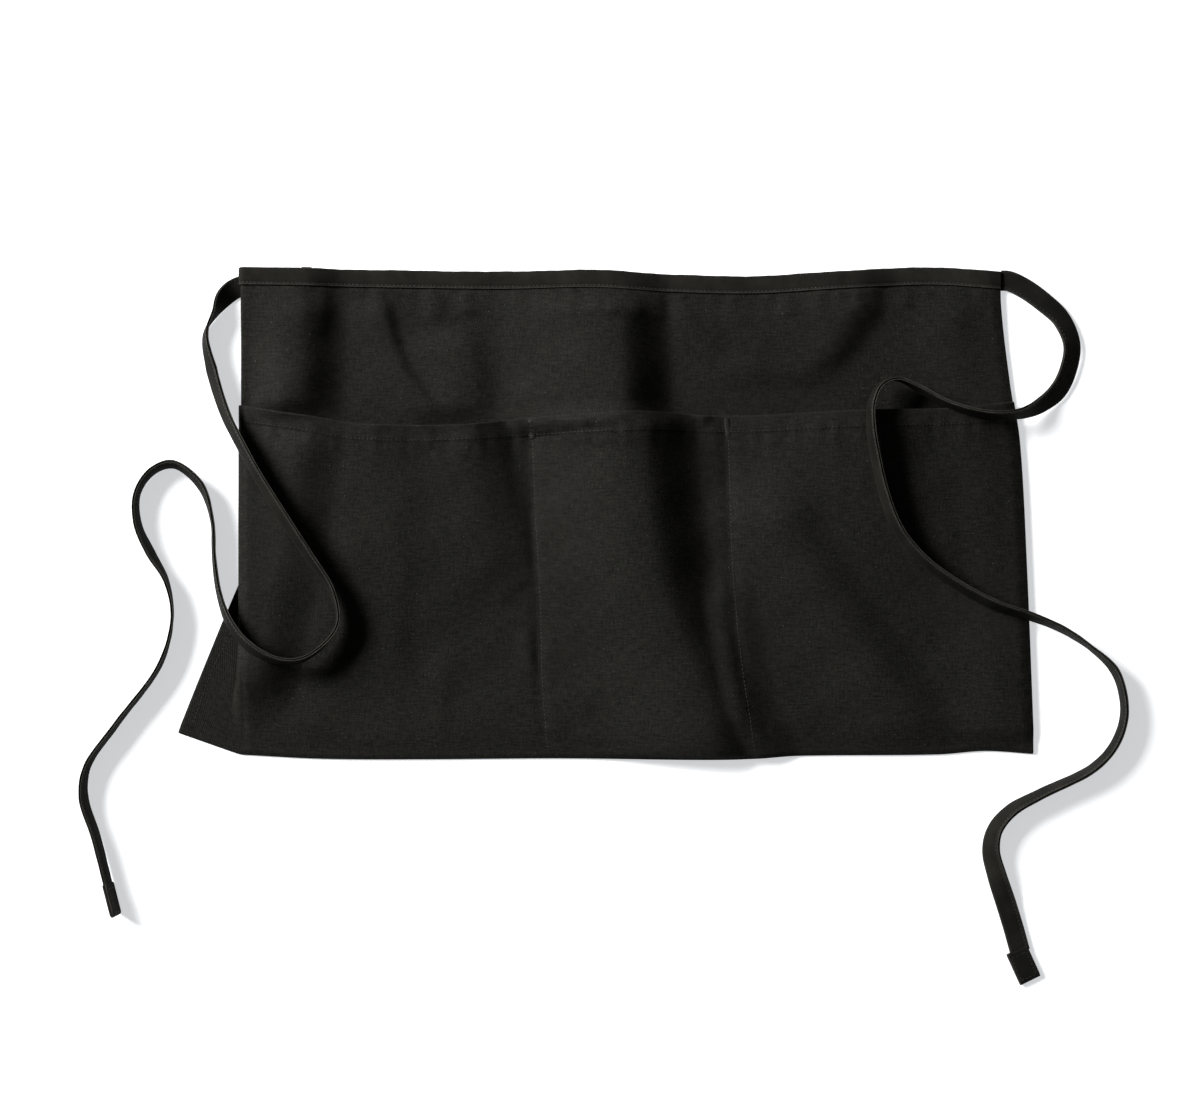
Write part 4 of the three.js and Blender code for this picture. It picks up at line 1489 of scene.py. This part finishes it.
# Routes of the ties: x, y and z of the tape's middle line in metres, and the roll in degrees, 0 lying flat
LEFT_ROUTE: Table = (
    (-0.1903, 0.1464, 0.0042, 180),
    (-0.1865, 0.1464, 0.0042, 180),
    (-0.185, 0.1464, 0.0027, 180),
    (-0.1865, 0.1463, 0.0012, 180),
    (-0.1905, 0.1462, 0.0012, 180),
    (-0.204, 0.1448, 0.0012, 180),
    (-0.224, 0.142, 0.0013, 180),
    (-0.2315, 0.1396, 0.0018, 172),
    (-0.2385, 0.1332, 0.0048, 138),
    (-0.2432, 0.1245, 0.0068, 100),
    (-0.2496, 0.111, 0.0068, 74),
    (-0.246, 0.0887, 0.0064, 56),
    (-0.2374, 0.062, 0.0095, 60),
    (-0.2272, 0.0425, 0.0166, 62),
    (-0.2163, 0.023, 0.0194, 62),
    (-0.2017, -0.0003, 0.0208, 60),
    (-0.186, -0.0246, 0.02, 62),
    (-0.1704, -0.049, 0.0178, 72),
    (-0.1675, -0.07, 0.016, 84),
    (-0.1855, -0.0893, 0.0164, 98),
    (-0.2017, -0.0918, 0.018, 108),
    (-0.2216, -0.0825, 0.0182, 118),
    (-0.2346, -0.0672, 0.0125, 114),
    (-0.2412, -0.0501, 0.0076, 106),
    (-0.2444, -0.0277, 0.0068, 102),
    (-0.2456, -0.0047, 0.0068, 100),
    (-0.253, 0.0171, 0.0066, 112),
    (-0.2695, 0.03, 0.0066, 108),
    (-0.2826, 0.0258, 0.0068, 102),
    (-0.292, 0.012, 0.0068, 96),
    (-0.2916, -0.007, 0.0068, 100),
    (-0.2835, -0.025, 0.0068, 106),
    (-0.274, -0.042, 0.0068, 92),
    (-0.2704, -0.064, 0.0068, 82),
    (-0.2775, -0.0935, 0.0068, 92),
    (-0.305, -0.1315, 0.0068, 96),
    (-0.3231, -0.1578, 0.0068, 98),
    (-0.3252, -0.1765, 0.0068, 104),
    (-0.3175, -0.201, 0.007, 103),
    (-0.3097, -0.2313, 0.0076, 102),
)
RIGHT_ROUTE: Table = (
    (0.24425, 0.14455, 0.0017, 180),
    (0.2495, 0.1442, 0.0017, 180),
    (0.2592, 0.1396, 0.0018, 177),
    (0.2702, 0.1316, 0.0025, 170),
    (0.2818, 0.1204, 0.0038, 158),
    (0.2882, 0.1043, 0.0049, 150),
    (0.2857, 0.088, 0.0047, 150),
    (0.2796, 0.0758, 0.0044, 152),
    (0.2685, 0.0667, 0.0066, 136),
    (0.2546, 0.0613, 0.012, 114),
    (0.2395, 0.0601, 0.0156, 108),
    (0.2226, 0.063, 0.0158, 105),
    (0.2067, 0.0688, 0.0144, 103),
    (0.1911, 0.0776, 0.0138, 100),
    (0.1787, 0.0826, 0.0148, 92),
    (0.1687, 0.0794, 0.0166, 84),
    (0.1628, 0.0686, 0.0194, 78),
    (0.162, 0.0535, 0.0218, 74),
    (0.165, 0.0335, 0.0209, 70),
    (0.1702, 0.0121, 0.0184, 68),
    (0.1793, -0.0103, 0.0162, 68),
    (0.1945, -0.0287, 0.0146, 68),
    (0.2152, -0.044, 0.0138, 68),
    (0.2397, -0.057, 0.0142, 68),
    (0.2621, -0.0644, 0.0114, 71),
    (0.282, -0.0725, 0.0076, 77),
    (0.2994, -0.0837, 0.0068, 84),
    (0.3137, -0.097, 0.0066, 76),
    (0.3193, -0.1117, 0.0067, 80),
    (0.32, -0.1279, 0.0067, 80),
    (0.3137, -0.1447, 0.0067, 78),
    (0.3007, -0.1584, 0.0067, 76),
    (0.268, -0.1746, 0.0065, 70),
    (0.2502, -0.1846, 0.0063, 62),
    (0.2403, -0.1964, 0.0059, 53),
    (0.2378, -0.2095, 0.0052, 41),
    (0.2415, -0.225, 0.0042, 28),
    (0.2478, -0.2437, 0.0023, 8),
    (0.2522, -0.258, 0.0018, 0),
    (0.2562, -0.2726, 0.0019, 0),
)


@dataclass
class TapeLine:
    """A tape's middle line as close points, each with its frame, in millimetres."""

    route: Table
    spacing: float = 2.0
    middle: Array = field(init=False)
    tangent: Array = field(init=False)
    across: Array = field(init=False)
    face: Array = field(init=False)
    length: Array = field(init=False)

    def __post_init__(self) -> None:
        """Follows the route with a centripetal spline and frames it."""
        points = np.array([row[:3] for row in self.route]) / MM
        rolls = np.array([row[3] for row in self.route], float)
        padded = np.vstack([2 * points[0] - points[1], points, 2 * points[-1] - points[-2]])
        middle, tangent, roll = [], [], []
        for k in range(len(points) - 1):
            p = padded[k:k + 4]
            d = [math.dist(a, b) ** 0.5 for a, b in zip(p, p[1:])]
            start = ((p[1] - p[0]) / d[0] - (p[2] - p[0]) / (d[0] + d[1]) + (p[2] - p[1]) / d[1]) * d[1]
            end = ((p[2] - p[1]) / d[1] - (p[3] - p[1]) / (d[1] + d[2]) + (p[3] - p[2]) / d[2]) * d[1]
            cells = max(4, round(d[1] ** 2 / self.spacing))
            shares = np.linspace(0, 1, cells + 1)
            shares = shares if k == len(points) - 2 else shares[:-1]
            s = shares[:, None]
            rise = p[2] - p[1]
            third, second = start + end - 2 * rise, 3 * rise - 2 * start - end
            middle.append(p[1] + s * (start + s * (second + s * third)))
            tangent.append(start + s * (2 * second + 3 * s * third))
            roll.append(mix(rolls[k], rolls[k + 1], shares))
        self.middle, self.tangent = np.vstack(middle), unit(np.vstack(tangent))
        turn = np.radians(np.concatenate(roll))[:, None]
        level = self._level()
        face = unit(np.cross(self.tangent, level))
        self.across = level * np.cos(turn) + face * np.sin(turn)
        self.face = face * np.cos(turn) - level * np.sin(turn)
        steps = np.linalg.norm(np.diff(self.middle, axis=0), axis=1)
        self.length = np.concatenate([[0], np.cumsum(steps)])

    def _level(self) -> Array:
        """Finds the level way across the line at each point.

        Returns:
            Unit vectors, all on one side of the line and kept through its steepest stretch.
        """
        level: list[Array] = []
        for tangent in self.tangent:
            sideways = np.cross((0, 0, 1), tangent)
            size = np.linalg.norm(sideways)
            if level and (size < 0.05 or sideways @ level[-1] < 0):
                sideways = -sideways
            level.append(level[-1] if size < 0.05 else sideways / size)
        return np.array(level)


@dataclass
class Tie(SubAssembly):
    """A tie of folded tape, sewn along its open edge, with its end folded back and sewn."""

    side: str = "left"
    route: Table = LEFT_ROUTE
    open_edge: int = -1
    thread: Thread = Thread(radius=0.17, stitch=1.9, pitch=2.5)
    slit_depth: float = 1.5
    slit_gap: float = 0.9
    stitch_inset: float = 2.0
    end_lap: float = 1.6
    end_turn: float = 0.0

    def _section(self) -> Array:
        """Draws the tape's cross-section.

        Returns:
            Rows of across and out from its open edge round, with the slit between its plies.
        """
        s = self.cloth.sizes
        w, t = s.tape_width / 2, s.tape_thickness / 2
        gap = self.slit_gap / 2
        ply = (t + gap) / 2
        front = [
            (w - self.slit_depth, 0.0), (w - 0.2, gap), (w, ply), (w - 0.25, t - 0.06), (w - 1.1, t),
            (w - self.stitch_inset, t - 0.22), (w - 3.1, t), (0, t + 0.04), (-w + 2, t),
            (-w + 0.7, t - 0.12), (-w + 0.12, t * 0.55), (-w, 0.0),
        ]
        back = [(a, -f) for a, f in front[1:-1]][::-1]
        outline = np.array(front + back)
        outline[:, 0] *= self.open_edge
        return outline if self.open_edge > 0 else outline[::-1]

    def build(self) -> None:
        """Makes the folded tape, its stitches and its sewn end."""
        line = TapeLine(self.route)
        outline = self._section()
        count = len(line.middle)
        place = line.length
        # Tape is never quite even: it swells and bows a little along its run, but not at its two ends
        plump = 1 + 0.05 * np.sin(place / 3.1) * np.sin(place / 11 + 1) + 0.03 * np.sin(place / 1.9)
        bow = 0.16 * np.sin(place / 19 + 0.6) + 0.08 * np.sin(place / 7.3)
        ends = ease(place / 12) * ease((place[-1] - place) / 12)
        crown = 1 - (outline[:, 0] / outline[:, 0].max()) ** 2
        out = outline[:, 1] * (1 + (plump - 1) * ends)[:, None] + (bow * ends)[:, None] * crown * 0.5
        rings = line.middle[:, None] + line.across[:, None] * outline[:, :1]
        rings = rings + line.face[:, None] * out[..., None]
        girth = np.concatenate([[0], np.cumsum(np.linalg.norm(np.diff(outline, axis=0), axis=1))])
        flat = np.stack(np.meshgrid(place, girth, indexing="ij"), -1)
        # The tape's edges are marked worn, which paints them paler: rubbed wear and a painted highlight along
        # the edges
        edges = np.exp(-(self.cloth.sizes.tape_width / 2 - np.abs(outline[:, 0])) / 0.5)
        tape = loft(f"{self.side}_tie_tape", rings, flat, np.tile(0.8 * edges, (count, 1)))
        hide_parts(f"{self.side}_tie")
        stitching = Stitching(f"{self.side}_tie_stitches", 31 if self.open_edge > 0 else 32)
        inset = (self.cloth.sizes.tape_width / 2 - self.stitch_inset) * self.open_edge
        for face in Face:
            lift = (self.cloth.sizes.tape_thickness / 2 - 0.2) * face.value
            seam = line.middle + line.across * inset + line.face * lift
            stitching.run(seam, line.face * face.value, self.thread)
        end = self._build_end(line, stitching)
        self.parts = [tape, end, stitching.build()]

    def _build_end(self, line: TapeLine, stitching: Stitching) -> bpy.types.Object:
        """Makes the tie's end: three plies folded back on themselves and sewn round in a box.

        Args:
            line: the tape's middle line, which the end carries on from.
            stitching: gathers its stitches.

        Returns:
            The end's object.
        """
        s = self.cloth.sizes
        start, face = line.middle[-1], line.face[-1]
        turn = math.radians(self.end_turn)
        way = line.tangent[-1] * math.cos(turn) + line.across[-1] * math.sin(turn)
        across = line.across[-1] * math.cos(turn) - line.tangent[-1] * math.sin(turn)
        start = start - across * math.sin(turn) * s.end_tab_length / 2
        length = self.end_lap + s.tie_clearance + s.end_tab_length
        w, t = s.end_tab_width / 2, s.end_tab_thickness / 2
        outline = np.array([
            (w - 0.9, 0.35), (w - 0.1, 0.75), (w - 0.3, t - 0.25), (w - 1.2, t), (w - 2.2, t - 0.15),
            (0, t + 0.02), (-w + 2.2, t - 0.15), (-w + 1.2, t), (-w + 0.2, t - 0.4), (-w, 0.0),
            (-w + 0.2, -t + 0.4), (-w + 1.2, -t), (-w + 2.2, -t + 0.15), (0, -t), (w - 2.2, -t + 0.15),
            (w - 1.2, -t), (w - 0.3, -t + 0.25), (w - 0.1, -0.75), (w - 0.9, -0.35),
        ])
        outline[:, 0] *= self.open_edge
        outline = outline if self.open_edge > 0 else outline[::-1]
        rings, places = [], []
        # Closer rings at both ends, where the plies are pressed flat and rounded off
        for share in (0, 0.012, 0.05, 0.1, 0.16, 0.25, 0.4, 0.55, 0.7, 0.8, 0.88, 0.94, 0.975, 0.994, 1):
            near, far = 1 - share, max(0.0, (share - 0.9) / 0.1)
            thin = (0.7 if share == 0 else 0.86 if share < 0.02 else 1) * math.sqrt(max(1 - far ** 2, 0.05))
            narrow = 1 - 0.03 * far - 0.02 * (near > 0.98)
            middle = start + way * (share * length - self.end_lap)
            skew = 0.05 * outline[:, 0] * (share > 0.5)
            rings.append(middle + across * (outline[:, :1] * narrow) + face * (outline[:, 1:] * thin)
                         - way * (skew * share)[:, None] * 0.6)
            places.append(share * length)
        girth = np.concatenate([[0], np.cumsum(np.linalg.norm(np.diff(outline, axis=0), axis=1))])
        flat = np.stack(np.meshgrid(places, girth, indexing="ij"), -1)
        worn = np.tile(0.7 * np.exp(-(w - np.abs(outline[:, 0])) / 0.6), (len(rings), 1))
        worn[-3:] = 0.8
        tab = loft(f"{self.side}_tie_end_tab", np.array(rings), flat, worn)
        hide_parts(f"{self.side}_tie_end")
        for side in Face:
            first, last, edge = 1.4, s.end_tab_length - 2.4, w - 2.2
            corners = [(first, -edge), (first, edge), (last, edge), (last, -edge), (first, -edge)]
            for (a0, c0), (a1, c1) in zip(corners, corners[1:]):
                shares = np.linspace(0, 1, 12)[:, None]
                seam = start + way * (s.tie_clearance + mix(a0, a1, shares)) + across * mix(c0, c1, shares)
                seam = seam + face * (t - 0.12) * side.value
                stitching.run(seam, np.tile(face * side.value, (12, 1)), self.thread)
        return tab

    def dress(self, finishes: Finishes) -> None:
        """Gives the tape, its end and the stitches their finishes.

        Args:
            finishes: the materials.
        """
        self._finish(self.parts[0], finishes.tape, "black_tape")
        self._finish(self.parts[1], finishes.tape, "black_tape")
        self._finish(self.parts[2], finishes.thread, "black_tape")


# The studio

@dataclass
class Studio:
    """The camera straight above, a soft key light from the upper left and a pale floor."""

    middle: tuple[float, float] = (-4.9, -21.5)
    seen_width: float = IMAGE_WIDTH * PIXEL
    focal_length: float = 96.0
    sensor: float = 36.0
    key_power: float = 381.0
    key_size: float = 1.6
    key_reach: float = 4.0
    key_heading: float = 151.0
    key_rise: float = 30.0
    fill: float = 0.08

    def build(self) -> None:
        """Makes the camera and the lights."""
        scene = bpy.context.scene
        reach = self.seen_width * self.focal_length / self.sensor
        camera = bpy.data.cameras.new("camera")
        camera.lens, camera.sensor_width = self.focal_length, self.sensor
        camera.clip_end = 20
        holder = bpy.data.objects.new("camera", camera)
        holder.location = (self.middle[0] * MM, self.middle[1] * MM, reach * MM)
        scene.collection.objects.link(holder)
        scene.camera = holder
        rise, heading = math.radians(self.key_rise), math.radians(self.key_heading)
        way = (math.cos(heading) * math.cos(rise), math.sin(heading) * math.cos(rise), math.sin(rise))
        key = bpy.data.lights.new("key light", "AREA")
        key.energy, key.size = self.key_power, self.key_size
        lamp = bpy.data.objects.new("key light", key)
        lamp.location = [self.key_reach * part for part in way]
        lamp.rotation_euler = (math.pi / 2 - rise, 0, heading + math.pi / 2)
        scene.collection.objects.link(lamp)
        world = bpy.data.worlds.new("soft white room")
        world.use_nodes = True
        world.node_tree.nodes["Background"].inputs["Strength"].default_value = self.fill
        world.node_tree.nodes["Background"].inputs["Color"].default_value = (1, 1, 1, 1)
        scene.world = world
        scene.view_settings.view_transform = "Standard"

    def lay_floor(self, finishes: Finishes) -> None:
        """Makes the floor under the apron.

        Args:
            finishes: the materials.
        """
        mesh = bpy.data.meshes.new("floor")
        mesh.from_pydata([(-6, -6, 0), (6, -6, 0), (6, 6, 0), (-6, 6, 0)], [], [(0, 1, 2, 3)])
        floor = bpy.data.objects.new("floor", mesh)
        floor.data.materials.append(finishes.floor)
        bpy.context.scene.collection.objects.link(floor)


def main() -> None:
    """Builds and dresses the apron and its studio."""
    studio = Studio()
    studio.build()
    finishes = Finishes()
    studio.lay_floor(finishes)
    cloth = LaidCloth(ApronSizes())
    assemblies: list[SubAssembly] = [
        Tie(cloth, side="left", route=LEFT_ROUTE, open_edge=-1),
        Tie(cloth, side="right", route=RIGHT_ROUTE, open_edge=1, end_turn=9.0),
        BodyPanel(cloth),
        PocketPanel(cloth, layer=Layer.POCKET, node="pocket_panel"),
        Waistband(cloth),
    ]
    for assembly in assemblies:
        assembly.build()
        assembly.dress(finishes)
        for part in assembly.parts:
            log.info("%s: %d faces", part.name, len(part.data.polygons))
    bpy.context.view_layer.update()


if __name__ == "__main__":
    main()
